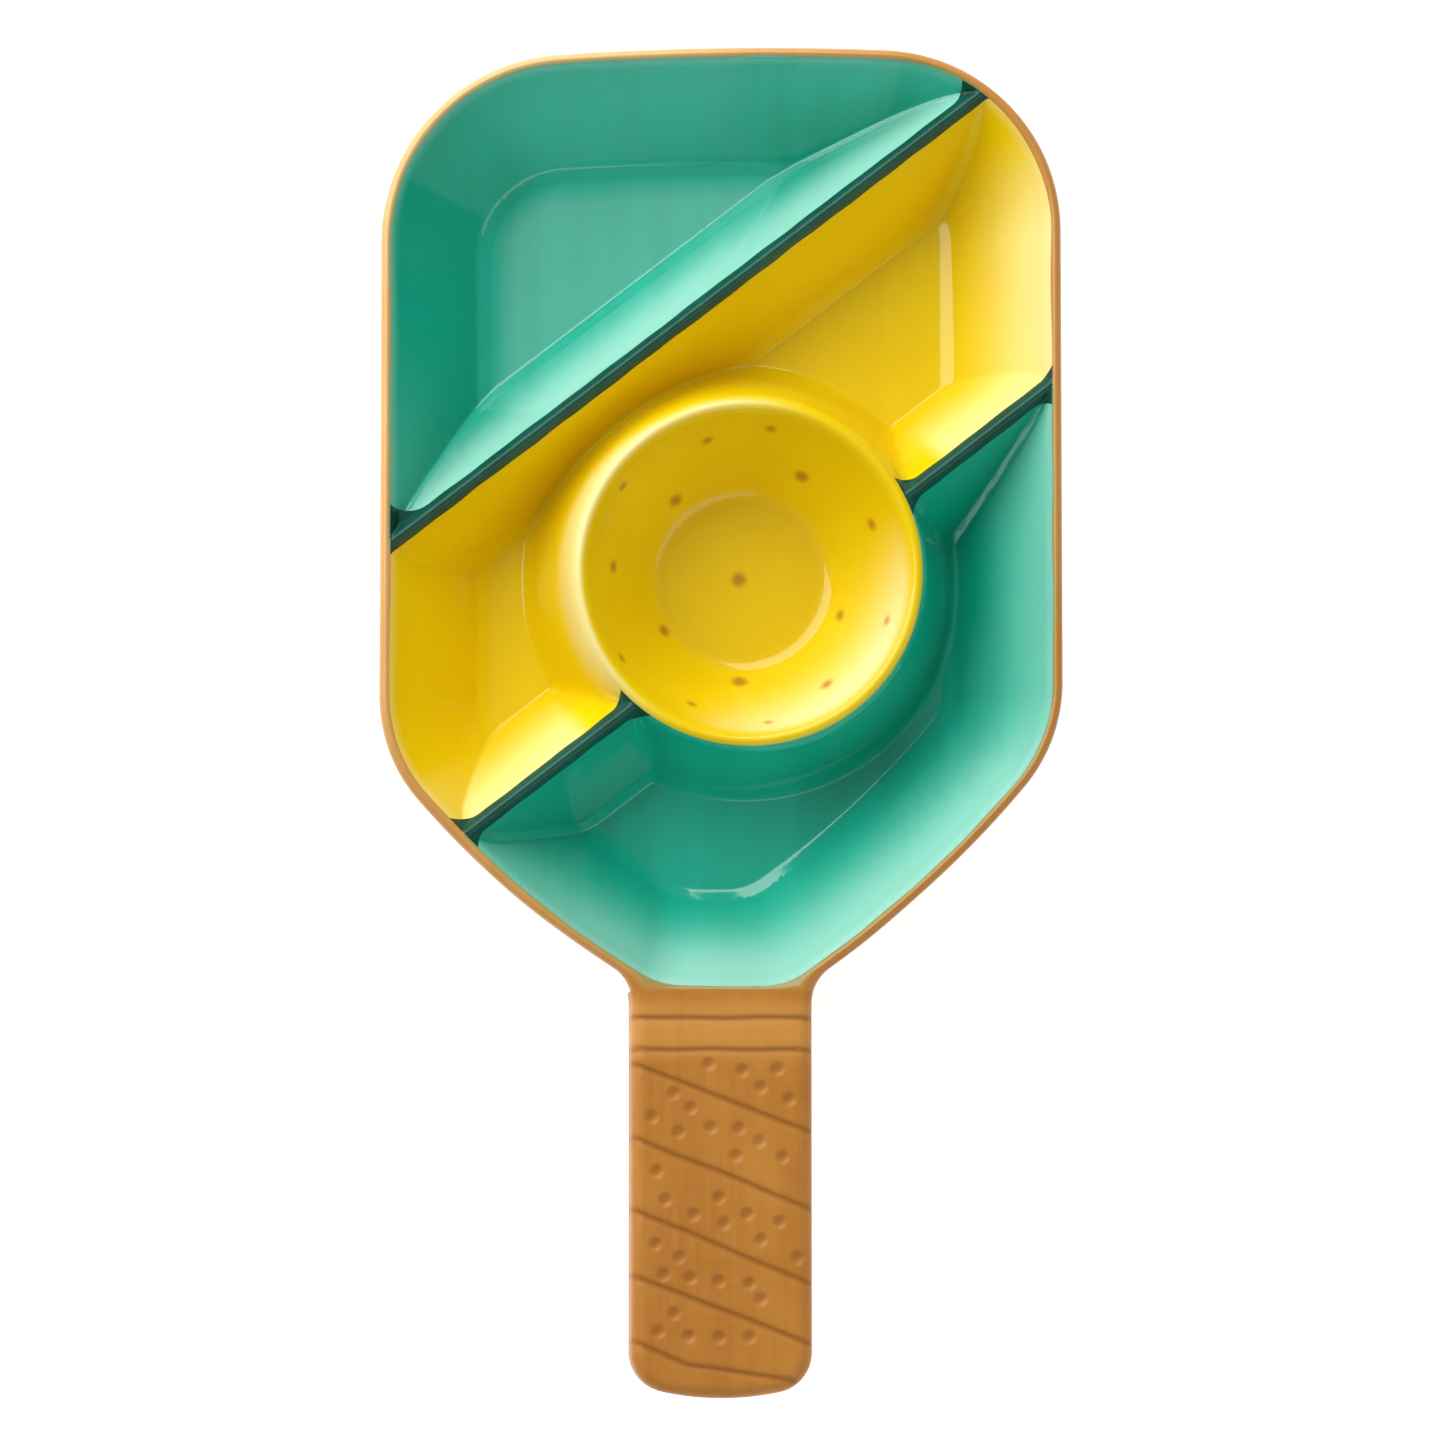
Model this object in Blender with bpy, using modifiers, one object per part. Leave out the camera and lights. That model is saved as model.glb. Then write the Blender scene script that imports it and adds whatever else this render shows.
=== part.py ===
"""Chip and dip server shaped like a pickleball paddle, in glazed stoneware.

The row frame has its origin on the table under the middle of the server, +X to
the right, +Y away from the handle and +Z up. All lengths are in metres.

The server is one fired piece without a mechanism. It is modelled as the clay
forms that it is put together from before firing: the brown outer shell, the
three glazed compartments, the dip bowl, the beads on the dividers, the rim
band, the hollow handle and the foot ring. Neighbours keep a 0.3 mm seam.
"""
import math

import bmesh
import bpy
from mathutils import Vector

MM = 0.001

# Driving dimensions
LENGTH = 406 * MM               # over the top edge and the handle's end
WIDTH = 205.2 * MM
RIM_HEIGHT = 45 * MM            # table to the top of the rim
SEAM = 0.3 * MM                 # gap between neighbouring forms
CUT_OVER = 1 * MM               # how far a cutting solid stands past its target

# Outline of the paddle, as arcs that touch each other
CROWN_RADIUS = 897 * MM         # the top edge, nearly straight
TOP_CORNER_RADIUS = 56 * MM
SIDE_LENGTH = 137 * MM
LOWER_CORNER_RADIUS = 48.4 * MM
LOWER_CORNER_TURN = math.radians(40.65)
SHOULDER_RADIUS = 297 * MM
SHOULDER_TURN = math.radians(15.2)
NECK_RADIUS = 12.2 * MM
HANDLE_CORNER_RADIUS = 12 * MM
HANDLE_END_RADIUS = 85 * MM
ARC_STEP = math.radians(9)
NECK_Y = -82 * MM               # the tray ends here and the handle begins

# Tray
FOOT_HEIGHT = 4.5 * MM
FOOT_INSET = 29 * MM
FOOT_WIDTH = 5 * MM
FOOT_ROUNDING = 0.6 * MM
SHELL_FLOOR = 2.1 * MM
SHELL_BASE_INSET = 27 * MM
SHELL_KNEE_INSET = 1.5 * MM     # the outside drops almost straight to the knee
SHELL_KNEE_HEIGHT = 36 * MM
SEAT_HEIGHT = 43.2 * MM         # top of shell and compartments, under the beads
RIM_WIDTH = 3 * MM
GLAZED_FLOOR = 10 * MM          # height of the compartments' floors
SKIN = 2.8 * MM                 # wall of a compartment
SKIN_SLANT = 1.15               # level width of a slanting wall over its thickness
WALL_RUN = 31 * MM              # level distance from the rim to the floor's crease
WALL_PITCH = WALL_RUN / (RIM_HEIGHT - GLAZED_FLOOR)
# Foot of a compartment's wall: share of the height above its floor and share of the run
WALL_FOOT = ((0.09, 0.92), (0.025, 1.0), (0.0, 1.1))

# Rim band
BAND_ROUNDING = 0.6 * MM        # drop of its rounded edges
BAND_SIDE_INSET = 0.3 * MM      # where the outer rounding begins
BAND_TOP_INSET = 1.2 * MM       # where the outer rounding ends
BAND_MOUTH_FLARE = 1.0 * MM     # width of the inner rounding
BAND_MOUTH_OVER = 0.3 * MM      # height of the mouth's cutter over the rim

# Dividers, both across the tray at one slant
DIVIDER_SLANT = math.radians(37)
LONG_DIVIDER = -103.7 * MM      # distance from the origin along DIVIDER_NORMAL
SHORT_DIVIDER = -19.5 * MM
DIVIDER_RUN = 18 * MM
CREST_HALF_WIDTH = 1.5 * MM
DIVIDER_PITCH = DIVIDER_RUN / (RIM_HEIGHT - GLAZED_FLOOR)
CREST_HEIGHT = 44.6 * MM
CREST_ROUNDING = 0.4 * MM
RIDGE_WALL = 6 * MM             # clay left over the hollow under a divider
RIDGE_HOLLOW_INSET = 42 * MM
RIDGE_APEX_HALF_WIDTH = 1 * MM
DIVIDER_NORMAL = Vector((math.sin(DIVIDER_SLANT), -math.cos(DIVIDER_SLANT)))
DIVIDER_ALONG = Vector((math.cos(DIVIDER_SLANT), math.sin(DIVIDER_SLANT)))

# Dip bowl
BOWL_CENTRE = Vector((8.9 * MM, 45.6 * MM))
BOWL_CREST_RADIUS = 50.3 * MM
BOWL_LIP_HALF_WIDTH = 1.6 * MM
BOWL_LIP_ROUNDING = 0.7 * MM    # drop of the lip's rounded edges
BOWL_HEIGHT = 45.4 * MM
BOWL_FLOOR = 11 * MM
BOWL_FLOOR_DISH = 0.3 * MM      # rise at the middle of its floor
BOWL_FLOOR_RADIUS = 25.7 * MM
BASIN_TOP = 44.1 * MM           # where the basin begins under the lip
BASIN_TOP_RADIUS = 47.9 * MM
BASIN_POWER = 1.7               # over 1 the basin's side is steep above and round below
BASIN_STEPS = 7                 # rings between the lip and the floor
BASIN_WALL = Vector((2.16 * MM, -1.8 * MM))     # from its inside to its outside
BOWL_COLLAR = 1.5 * MM          # upright part of the outside, under the lip
SKIRT_TOP_RADIUS = 51.9 * MM    # outer wall of the bowl, under the lip
SKIRT_BASE_RADIUS = 62.6 * MM
SKIRT_TOP_WALL = 2.3 * MM
SKIRT_BASE_WALL = 3.2 * MM
SKIRT_PITCH = (SKIRT_BASE_RADIUS - SKIRT_TOP_RADIUS) / (SEAT_HEIGHT - GLAZED_FLOOR)
SKIRT_FILLET_HEIGHT = 3.2 * MM  # over the compartment's floor
# Rest of that fillet: out from the skirt's base, and up from the floor
SKIRT_FILLET = ((0.6 * MM, 0.9 * MM), (3.6 * MM, -0.1 * MM))
TURN_STEPS = 48

# Handle
HANDLE_TOP = 44.4 * MM
HANDLE_BOTTOM = 22 * MM
HANDLE_ROOT_Y = -60 * MM
HANDLE_EDGE = 5 * MM            # rounding of its long edges
HANDLE_WALL = 4.5 * MM
HANDLE_END_WALL = 6.5 * MM
HANDLE_HOLLOW_START_Y = -88 * MM
VENT_RADIUS = 2.5 * MM
VENT_Y = -176 * MM
GROOVE_RADIUS = 1.8 * MM
GROOVE_DEPTH = 0.8 * MM
RING_GROOVES_Y = (-88.5 * MM, -98.4 * MM)
GROOVE_REACH = 34.2 * MM        # a groove's cutter, to either side of the middle
WRAP_START_Y = -100.28 * MM     # first slanting groove, at the left reach
WRAP_PITCH = 21 * MM
WRAP_DROP = 26.25 * MM          # fall from the left reach to the right reach
WRAP_COUNT = 4
LAST_WRAP = ((-26 * MM, -187 * MM), (-10.5 * MM, -193.2 * MM), (20 * MM, -197.6 * MM))

COLOURS = {
    "brown_glaze": (0.527, 0.216, 0.040, 1.0),
    "green_glaze": (0.078, 0.434, 0.323, 1.0),
    "yellow_glaze": (0.694, 0.456, 0.004, 1.0),
    "dark_green_glaze": (0.010, 0.107, 0.069, 1.0),
    "bare_clay": (0.68, 0.60, 0.50, 1.0),
}


def clear_scene():
    for thing in list(bpy.data.objects):
        bpy.data.objects.remove(thing, do_unlink=True)


def make_collection(name):
    collection = bpy.data.collections.new(name)
    bpy.context.scene.collection.children.link(collection)
    return collection


clear_scene()
PARTS = make_collection("chip_and_dip_server")
CUTTERS = make_collection("cutters")


def make_material(name, slot, roughness):
    material = bpy.data.materials.new(name)
    material.use_nodes = True
    shader = material.node_tree.nodes["Principled BSDF"]
    shader.inputs["Base Color"].default_value = COLOURS[slot]
    shader.inputs["Roughness"].default_value = roughness
    shader.inputs["Metallic"].default_value = 0.0
    return material


def mesh_object(name, mesh, collection=CUTTERS):
    thing = bpy.data.objects.new(name, mesh)
    collection.objects.link(thing)
    if collection == CUTTERS:
        thing.hide_render = True
        thing.display_type = "WIRE"
    return thing


def finish_part(name, thing, slot, roughness=0.2):
    """Name a finished form, shade it and give it its own glaze."""
    thing.name = name
    CUTTERS.objects.unlink(thing)
    PARTS.objects.link(thing)
    thing.hide_render = False
    thing.display_type = "TEXTURED"
    thing.data.materials.clear()
    thing.data.materials.append(make_material(name + "_" + slot, slot, roughness))
    return thing


# Plan outlines: lists of 2-D points, counter-clockwise and closed

def arc_points(start, heading, radius, turn):
    """Follow an arc to the right (turn > 0) or left from start.

    heading is the angle of travel from +X. Returns the points after start and
    the new heading.
    """
    side = math.copysign(1, turn)
    centre = start + radius * side * Vector((math.sin(heading), -math.cos(heading)))
    steps = max(1, round(abs(turn) / ARC_STEP))
    points = []
    for step in range(1, steps + 1):
        angle = heading - turn * step / steps
        spoke = Vector((math.sin(angle), -math.cos(angle)))
        points.append(centre - radius * side * spoke)
    return points, heading - turn


def crown_turn(half_width, corner, crown):
    """Angle of a crowned end's half, where it meets its corner arc."""
    return math.asin((half_width - corner) / (crown - corner))


def blade_half():
    """Right half of the tray's outline, from the top edge to the neck."""
    crown = crown_turn(WIDTH / 2, TOP_CORNER_RADIUS, CROWN_RADIUS)
    heading = 0.0
    points = [Vector((0, LENGTH / 2))]
    for radius, turn in ((CROWN_RADIUS, crown), (TOP_CORNER_RADIUS, math.pi / 2 - crown)):
        arc, heading = arc_points(points[-1], heading, radius, turn)
        points += arc
    points.append(points[-1] + Vector((0, -SIDE_LENGTH)))
    for radius, turn in ((LOWER_CORNER_RADIUS, LOWER_CORNER_TURN), (SHOULDER_RADIUS, SHOULDER_TURN)):
        arc, heading = arc_points(points[-1], heading, radius, turn)
        points += arc
    return points, heading


def mirrored(half):
    """Close a right half, listed from top to bottom, into a whole outline."""
    left = [Vector((-point.x, point.y)) for point in half]
    right = list(reversed(half))
    outline = left + right
    return [p for i, p in enumerate(outline) if (p - outline[i - 1]).length > 0.01 * MM]


def keep_below(points, normal, limit):
    """The part of a convex outline where normal . point <= limit."""
    kept = []
    for index, point in enumerate(points):
        before = points[index - 1]
        depth = normal.dot(point) - limit
        depth_before = normal.dot(before) - limit
        if depth * depth_before < 0:
            kept.append(before.lerp(point, depth_before / (depth_before - depth)))
        if depth <= 0:
            kept.append(point)
    return kept


def inset(points, distance):
    """Move every side of a convex, counter-clockwise outline inwards, or out
    where the distance is negative."""
    result = [LENGTH * Vector(corner) for corner in ((-1, -1), (1, -1), (1, 1), (-1, 1))]
    for index, point in enumerate(points):
        along = (point - points[index - 1]).normalized()
        outward = Vector((along.y, -along.x))
        result = keep_below(result, outward, outward.dot(point) - distance)
    return result


def tray_outline():
    half, heading = blade_half()
    beyond = half[-1] + NECK_RADIUS * Vector((math.cos(heading), math.sin(heading)))
    outline = mirrored(half + [beyond])
    return keep_below(outline, Vector((0, -1)), -NECK_Y)


TRAY = tray_outline()


def handle_outline():
    """The handle with its flared neck, running on into the tray."""
    half, heading = blade_half()
    neck, heading = arc_points(half[-1], heading, NECK_RADIUS, -(LOWER_CORNER_TURN + SHOULDER_TURN))
    half_width = neck[-1].x
    crown = crown_turn(half_width, HANDLE_CORNER_RADIUS, HANDLE_END_RADIUS)
    corner, heading = arc_points(Vector((half_width, 0)), heading, HANDLE_CORNER_RADIUS,
                                 math.pi / 2 - crown)
    end, heading = arc_points(corner[-1], heading, HANDLE_END_RADIUS, crown)
    drop = Vector((0, -LENGTH / 2 - end[-1].y))
    root = [Vector((0, HANDLE_ROOT_Y)), Vector((half[-1].x - NECK_RADIUS, HANDLE_ROOT_Y))]
    run = [Vector((half_width, 0)) + drop] + [point + drop for point in corner + end]
    return mirrored(root + [half[-1]] + neck + run)


# Solids

def hull_solid(name, sections):
    """Closed convex solid around level outlines, given as (height, points)."""
    mesh = bpy.data.meshes.new(name)
    form = bmesh.new()
    for height, points in sections:
        for point in points:
            form.verts.new((point.x, point.y, height))
    bmesh.ops.convex_hull(form, input=form.verts)
    loose = [vert for vert in form.verts if not vert.link_faces]
    bmesh.ops.delete(form, geom=loose, context="VERTS")
    bmesh.ops.dissolve_limit(form, angle_limit=math.radians(0.1), verts=form.verts, edges=form.edges)
    bmesh.ops.recalc_face_normals(form, faces=form.faces)
    form.to_mesh(mesh)
    form.free()
    return mesh_object(name, mesh)


def prism(name, points, bottom, top):
    """Upright solid on a level outline that may have hollow corners."""
    mesh = bpy.data.meshes.new(name)
    form = bmesh.new()
    base = form.faces.new([form.verts.new((point.x, point.y, bottom)) for point in points])
    raised = bmesh.ops.extrude_face_region(form, geom=[base])["geom"]
    lifted = [item for item in raised if isinstance(item, bmesh.types.BMVert)]
    bmesh.ops.translate(form, verts=lifted, vec=(0, 0, top - bottom))
    bmesh.ops.recalc_face_normals(form, faces=form.faces)
    form.to_mesh(mesh)
    form.free()
    return mesh_object(name, mesh)


def turned(name, profile, centre=BOWL_CENTRE):
    """Solid of revolution. The profile runs from the top of the axis outwards,
    down the outside and back to the axis."""
    mesh = bpy.data.meshes.new(name)
    line = [(radius, 0, height) for radius, height in profile]
    mesh.from_pydata(line, [(i, i + 1) for i in range(len(line) - 1)], [])
    thing = mesh_object(name, mesh)
    thing.location = (centre.x, centre.y, 0)
    screw = thing.modifiers.new("turn", "SCREW")
    screw.steps = TURN_STEPS
    screw.render_steps = TURN_STEPS
    screw.use_merge_vertices = True
    screw.merge_threshold = 0.01 * MM
    return thing


def combine(target, tool, operation="DIFFERENCE"):
    step = target.modifiers.new(tool.name, "BOOLEAN")
    step.operation = operation
    step.solver = "EXACT"
    step.object = tool
    return target


# Dividers and compartments

class Region:
    """A compartment's place between the dividers.

    Each bound is a divider's distance and the side of it that is kept.
    """

    def __init__(self, name, slot, bounds, holds_bowl):
        self.name = name
        self.slot = slot
        self.bounds = bounds
        self.holds_bowl = holds_bowl

    def outline(self, share, grow, least):
        """Level outline at a share of the run, with its walls moved out by grow."""
        points = inset(TRAY, max(RIM_WIDTH + WALL_RUN * share - grow, least))
        half_width = max(CREST_HALF_WIDTH + DIVIDER_RUN * share - grow, least)
        for distance, side in self.bounds:
            normal = DIVIDER_NORMAL * side
            points = keep_below(points, normal, side * distance - half_width)
        return points

    def solid(self, suffix, skin, top, least=0.0):
        """The compartment's space, grown by skin on every wall and its floor."""
        depth = RIM_HEIGHT - GLAZED_FLOOR
        grow = skin * SKIN_SLANT
        height, share = WALL_FOOT[0]
        levels = [(top, share * (RIM_HEIGHT - top) / (depth * (1 - height)))]
        for height, share in WALL_FOOT:
            levels.append((GLAZED_FLOOR + depth * height - skin, share))
        sections = [(z, self.outline(share, grow, least)) for z, share in levels]
        return hull_solid(self.name + suffix, sections)


REGIONS = (
    Region("upper_compartment", "green_glaze", ((LONG_DIVIDER, 1),), False),
    Region("middle_compartment", "yellow_glaze", ((LONG_DIVIDER, -1), (SHORT_DIVIDER, 1)), True),
    Region("lower_compartment", "green_glaze", ((SHORT_DIVIDER, -1),), True),
)


def bowl_cone(name, wall_top, wall_base, top, bottom):
    """Cone inside the bowl's outer wall, thinner than it by the wall."""
    upper = SKIRT_TOP_RADIUS - SKIRT_PITCH * (top - SEAT_HEIGHT) - wall_top
    lower = SKIRT_BASE_RADIUS - wall_base
    return turned(name, [(0, top), (upper, top), (lower, GLAZED_FLOOR), (lower, bottom), (0, bottom)])


def bowl_island():
    """The bowl as the compartments see it, with a fillet at its foot."""
    over = RIM_HEIGHT + 2 * CUT_OVER
    profile = [(0, over), (SKIRT_TOP_RADIUS - SKIRT_PITCH * (over - SEAT_HEIGHT), over)]
    profile += [(SKIRT_BASE_RADIUS - SKIRT_PITCH * SKIRT_FILLET_HEIGHT, GLAZED_FLOOR + SKIRT_FILLET_HEIGHT)]
    profile += [(SKIRT_BASE_RADIUS + out, GLAZED_FLOOR + up) for out, up in SKIRT_FILLET]
    profile += [(profile[-1][0], GLAZED_FLOOR - SKIN), (0, GLAZED_FLOOR - SKIN)]
    return turned("bowl_island", profile)


def make_compartments():
    core = bowl_cone("bowl_core", SKIRT_TOP_WALL, SKIRT_BASE_WALL, RIM_HEIGHT, FOOT_HEIGHT)
    island = bowl_island()
    for region in REGIONS:
        dish = region.solid("_skin", SKIN, SEAT_HEIGHT, SEAM / 2)
        space = region.solid("_space", 0.0, RIM_HEIGHT + CUT_OVER)
        if region.holds_bowl:
            combine(space, island)
            combine(dish, core)
        combine(dish, space)
        finish_part(region.name, dish, region.slot)


def make_ridge_hollow(name, distance, first, last):
    """Hollow under a divider, open below, between two places along it."""
    room = CREST_HALF_WIDTH - (SKIN + SEAM) * SKIN_SLANT - RIDGE_WALL
    apex = RIM_HEIGHT - (RIDGE_APEX_HALF_WIDTH - room) / DIVIDER_PITCH
    base = FOOT_HEIGHT - CUT_OVER
    sections = []
    for height in (base, apex):
        half = room + DIVIDER_PITCH * (RIM_HEIGHT - height)
        end_slack = (height - base) * SHELL_BASE_INSET / SHELL_KNEE_HEIGHT
        points = inset(TRAY, RIDGE_HOLLOW_INSET - end_slack)
        points = keep_below(points, DIVIDER_NORMAL, distance + half)
        points = keep_below(points, -DIVIDER_NORMAL, half - distance)
        points = keep_below(points, DIVIDER_ALONG, last)
        points = keep_below(points, -DIVIDER_ALONG, -first)
        sections.append((height, points))
    return hull_solid(name, sections)


def shell_levels(grow=0.0):
    """Level outlines of the shell's outside, moved out by grow."""
    return [(FOOT_HEIGHT + SEAM - grow, inset(TRAY, SHELL_BASE_INSET - grow)),
            (SHELL_KNEE_HEIGHT, inset(TRAY, SHELL_KNEE_INSET - grow)),
            (SEAT_HEIGHT, inset(TRAY, -grow))]


def make_shell():
    floor = FOOT_HEIGHT + SEAM
    body = hull_solid("shell_body", shell_levels())
    for region in REGIONS:
        combine(body, region.solid("_pocket", SKIN + SEAM, SEAT_HEIGHT + CUT_OVER, -SEAM))
    basin_room = bowl_cone("basin_room", SKIRT_TOP_WALL + SEAM, SKIRT_BASE_WALL + SEAM, RIM_HEIGHT,
                           floor + SHELL_FLOOR)
    combine(body, basin_room)
    bowl_side = DIVIDER_ALONG.dot(BOWL_CENTRE) - SKIRT_BASE_RADIUS
    combine(body, make_ridge_hollow("long_ridge_hollow", LONG_DIVIDER, -LENGTH, LENGTH))
    combine(body, make_ridge_hollow("left_ridge_hollow", SHORT_DIVIDER, -LENGTH, bowl_side))
    finish_part("paddle_shell", body, "brown_glaze")


def make_rim_band():
    """Rounded band on top of the shell, all round the tray's mouth."""
    seat = SEAT_HEIGHT + SEAM
    band = hull_solid("band_body", (
        (seat, TRAY),
        (RIM_HEIGHT - BAND_ROUNDING, inset(TRAY, BAND_SIDE_INSET)),
        (RIM_HEIGHT, inset(TRAY, BAND_TOP_INSET)),
    ))
    mouth = hull_solid("band_mouth", (
        (seat - CUT_OVER, inset(TRAY, RIM_WIDTH + WALL_PITCH * (RIM_HEIGHT - seat))),
        (RIM_HEIGHT - BAND_ROUNDING, inset(TRAY, RIM_WIDTH)),
        (RIM_HEIGHT + BAND_MOUTH_OVER, inset(TRAY, RIM_WIDTH - BAND_MOUTH_FLARE)),
    ))
    combine(band, mouth)
    finish_part("rim_band", band, "brown_glaze")


def make_crest(name, distance, first, last):
    """Bead on a divider between two places along it."""
    seat = SEAT_HEIGHT + SEAM
    sections = []
    for height, half in ((seat, CREST_HALF_WIDTH + DIVIDER_PITCH * (RIM_HEIGHT - seat)),
                         (CREST_HEIGHT - CREST_ROUNDING, CREST_HALF_WIDTH),
                         (CREST_HEIGHT, CREST_HALF_WIDTH / 2)):
        points = inset(TRAY, RIM_WIDTH + WALL_PITCH * (RIM_HEIGHT - seat) + SEAM)
        points = keep_below(points, DIVIDER_NORMAL, distance + half)
        points = keep_below(points, -DIVIDER_NORMAL, half - distance)
        points = keep_below(points, DIVIDER_ALONG, last)
        points = keep_below(points, -DIVIDER_ALONG, -first)
        sections.append((height, points))
    return hull_solid(name, sections)


def make_crests():
    long_crest = make_crest("long_crest", LONG_DIVIDER, -LENGTH, LENGTH)
    finish_part("long_divider_crest", long_crest, "dark_green_glaze")
    middle = DIVIDER_ALONG.dot(BOWL_CENTRE)
    lip = SKIRT_TOP_RADIUS + SEAM
    over = CREST_HEIGHT + CUT_OVER
    lip_room = turned("lip_room", [(0, over), (lip, over), (lip, GLAZED_FLOOR), (0, GLAZED_FLOOR)])
    for side, first, last in (("left", -LENGTH, middle), ("right", middle, LENGTH)):
        crest = make_crest(side + "_crest", SHORT_DIVIDER, first, last)
        combine(crest, lip_room)
        finish_part(side + "_divider_crest", crest, "dark_green_glaze")


def basin_radius(depth_share):
    """Inner radius of the basin, from the lip (0) to the floor (1)."""
    spread = math.sqrt(1 - depth_share ** BASIN_POWER)
    return BOWL_FLOOR_RADIUS + (BASIN_TOP_RADIUS - BOWL_FLOOR_RADIUS) * spread


def make_dip_bowl():
    lip_low = SEAT_HEIGHT + SEAM
    rest = FOOT_HEIGHT + SEAM + SHELL_FLOOR + SEAM
    inside = []
    for step in range(BASIN_STEPS + 1):
        share = step / BASIN_STEPS
        inside.append(Vector((basin_radius(share), BASIN_TOP + (BOWL_FLOOR - BASIN_TOP) * share)))
    outside = [point + BASIN_WALL for point in inside[1:]]
    lip = [(BOWL_CREST_RADIUS - BOWL_LIP_HALF_WIDTH, BOWL_HEIGHT - BOWL_LIP_ROUNDING),
           (BOWL_CREST_RADIUS, BOWL_HEIGHT),
           (BOWL_CREST_RADIUS + BOWL_LIP_HALF_WIDTH, BOWL_HEIGHT - BOWL_LIP_ROUNDING),
           (SKIRT_TOP_RADIUS, lip_low)]
    shoulder = SKIRT_TOP_RADIUS - SKIRT_TOP_WALL - SEAM
    profile = [(0, BOWL_FLOOR + BOWL_FLOOR_DISH)] + list(reversed(inside)) + lip
    profile += [(shoulder, lip_low), (shoulder, lip_low - BOWL_COLLAR)] + outside
    profile += [(outside[-1].x, rest), (0, rest)]
    finish_part("dip_bowl", turned("basin", profile), "yellow_glaze")


def groove_tool(name, points):
    """Round bar along a groove, sunk into the handle's top by its depth."""
    curve = bpy.data.curves.new(name, "CURVE")
    curve.dimensions = "3D"
    spline = curve.splines.new("POLY")
    spline.points.add(len(points) - 1)
    height = HANDLE_TOP + GROOVE_RADIUS - GROOVE_DEPTH
    for point, (x, y) in zip(spline.points, points):
        point.co = (x, y, height, 1)
    curve.bevel_depth = GROOVE_RADIUS
    curve.bevel_resolution = 2
    curve.use_fill_caps = True
    wire = mesh_object(name + "_curve", curve)
    bpy.context.view_layer.update()
    depsgraph = bpy.context.evaluated_depsgraph_get()
    mesh = bpy.data.meshes.new_from_object(wire.evaluated_get(depsgraph))
    form = bmesh.new()
    form.from_mesh(mesh)
    bmesh.ops.remove_doubles(form, verts=form.verts, dist=0.001 * MM)
    bmesh.ops.recalc_face_normals(form, faces=form.faces)
    form.to_mesh(mesh)
    form.free()
    bpy.data.objects.remove(wire, do_unlink=True)
    return mesh_object(name, mesh)


def groove_routes():
    routes = [((-GROOVE_REACH, y), (GROOVE_REACH, y)) for y in RING_GROOVES_Y]
    for turn in range(WRAP_COUNT):
        start = WRAP_START_Y - WRAP_PITCH * turn
        routes.append(((-GROOVE_REACH, start), (GROOVE_REACH, start - WRAP_DROP)))
    routes.append(LAST_WRAP)
    return routes


def make_handle():
    outline = handle_outline()
    grip = prism("grip_body", outline, HANDLE_BOTTOM, HANDLE_TOP)
    rounding = grip.modifiers.new("rounding", "BEVEL")
    rounding.width = HANDLE_EDGE
    rounding.segments = 3
    rounding.limit_method = "ANGLE"
    rounding.angle_limit = math.radians(60)
    seam = SEAM * SKIN_SLANT
    above = (RIM_HEIGHT + CUT_OVER, inset(TRAY, -seam))
    tray_room = hull_solid("tray_room", shell_levels(seam) + [above])
    combine(grip, tray_room)
    half_width = max(point.x for point in outline if point.y < HANDLE_HOLLOW_START_Y) - HANDLE_WALL
    end_y = -LENGTH / 2 + HANDLE_END_WALL
    corners = [(-half_width, HANDLE_HOLLOW_START_Y), (-half_width, end_y), (half_width, end_y),
               (half_width, HANDLE_HOLLOW_START_Y)]
    hollow = prism("grip_hollow", [Vector(corner) for corner in corners],
                   HANDLE_BOTTOM + HANDLE_WALL, HANDLE_TOP - HANDLE_WALL)
    soft = hollow.modifiers.new("rounding", "BEVEL")
    soft.width = HANDLE_EDGE
    soft.segments = 2
    combine(grip, hollow)
    vent_top = HANDLE_BOTTOM + 2 * HANDLE_WALL
    vent_base = HANDLE_BOTTOM - CUT_OVER
    vent = [(0, vent_top), (VENT_RADIUS, vent_top), (VENT_RADIUS, vent_base), (0, vent_base)]
    combine(grip, turned("vent", vent, Vector((0, VENT_Y))))
    for number, route in enumerate(groove_routes()):
        combine(grip, groove_tool("groove_%d" % number, route))
    finish_part("handle_grip", grip, "brown_glaze")


def make_foot_ring():
    outside = inset(TRAY, FOOT_INSET)
    inside = inset(TRAY, FOOT_INSET + FOOT_WIDTH)
    ring = hull_solid("foot_body", (
        (0, inset(TRAY, FOOT_INSET + FOOT_ROUNDING)),
        (FOOT_ROUNDING, outside),
        (FOOT_HEIGHT, outside),
    ))
    combine(ring, hull_solid("foot_room", ((-CUT_OVER, inside), (FOOT_HEIGHT + CUT_OVER, inside))))
    finish_part("foot_ring", ring, "bare_clay", 0.8)


make_shell()
make_compartments()
make_dip_bowl()
make_rim_band()
make_crests()
make_handle()
make_foot_ring()
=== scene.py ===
"""Looks of the chip and dip server: glazed stoneware in the outline of a short racket.

The server's top is one smooth height field over the table. It is cut into the pieces of
the CAD model where the glaze colour changes, and each piece is closed into a solid.
Lengths in this file are in millimetres unless a name says otherwise.
"""

import math

import bpy
import numpy as np
from mathutils import Matrix, Vector
from mathutils.geometry import delaunay_2d_cdt


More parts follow.
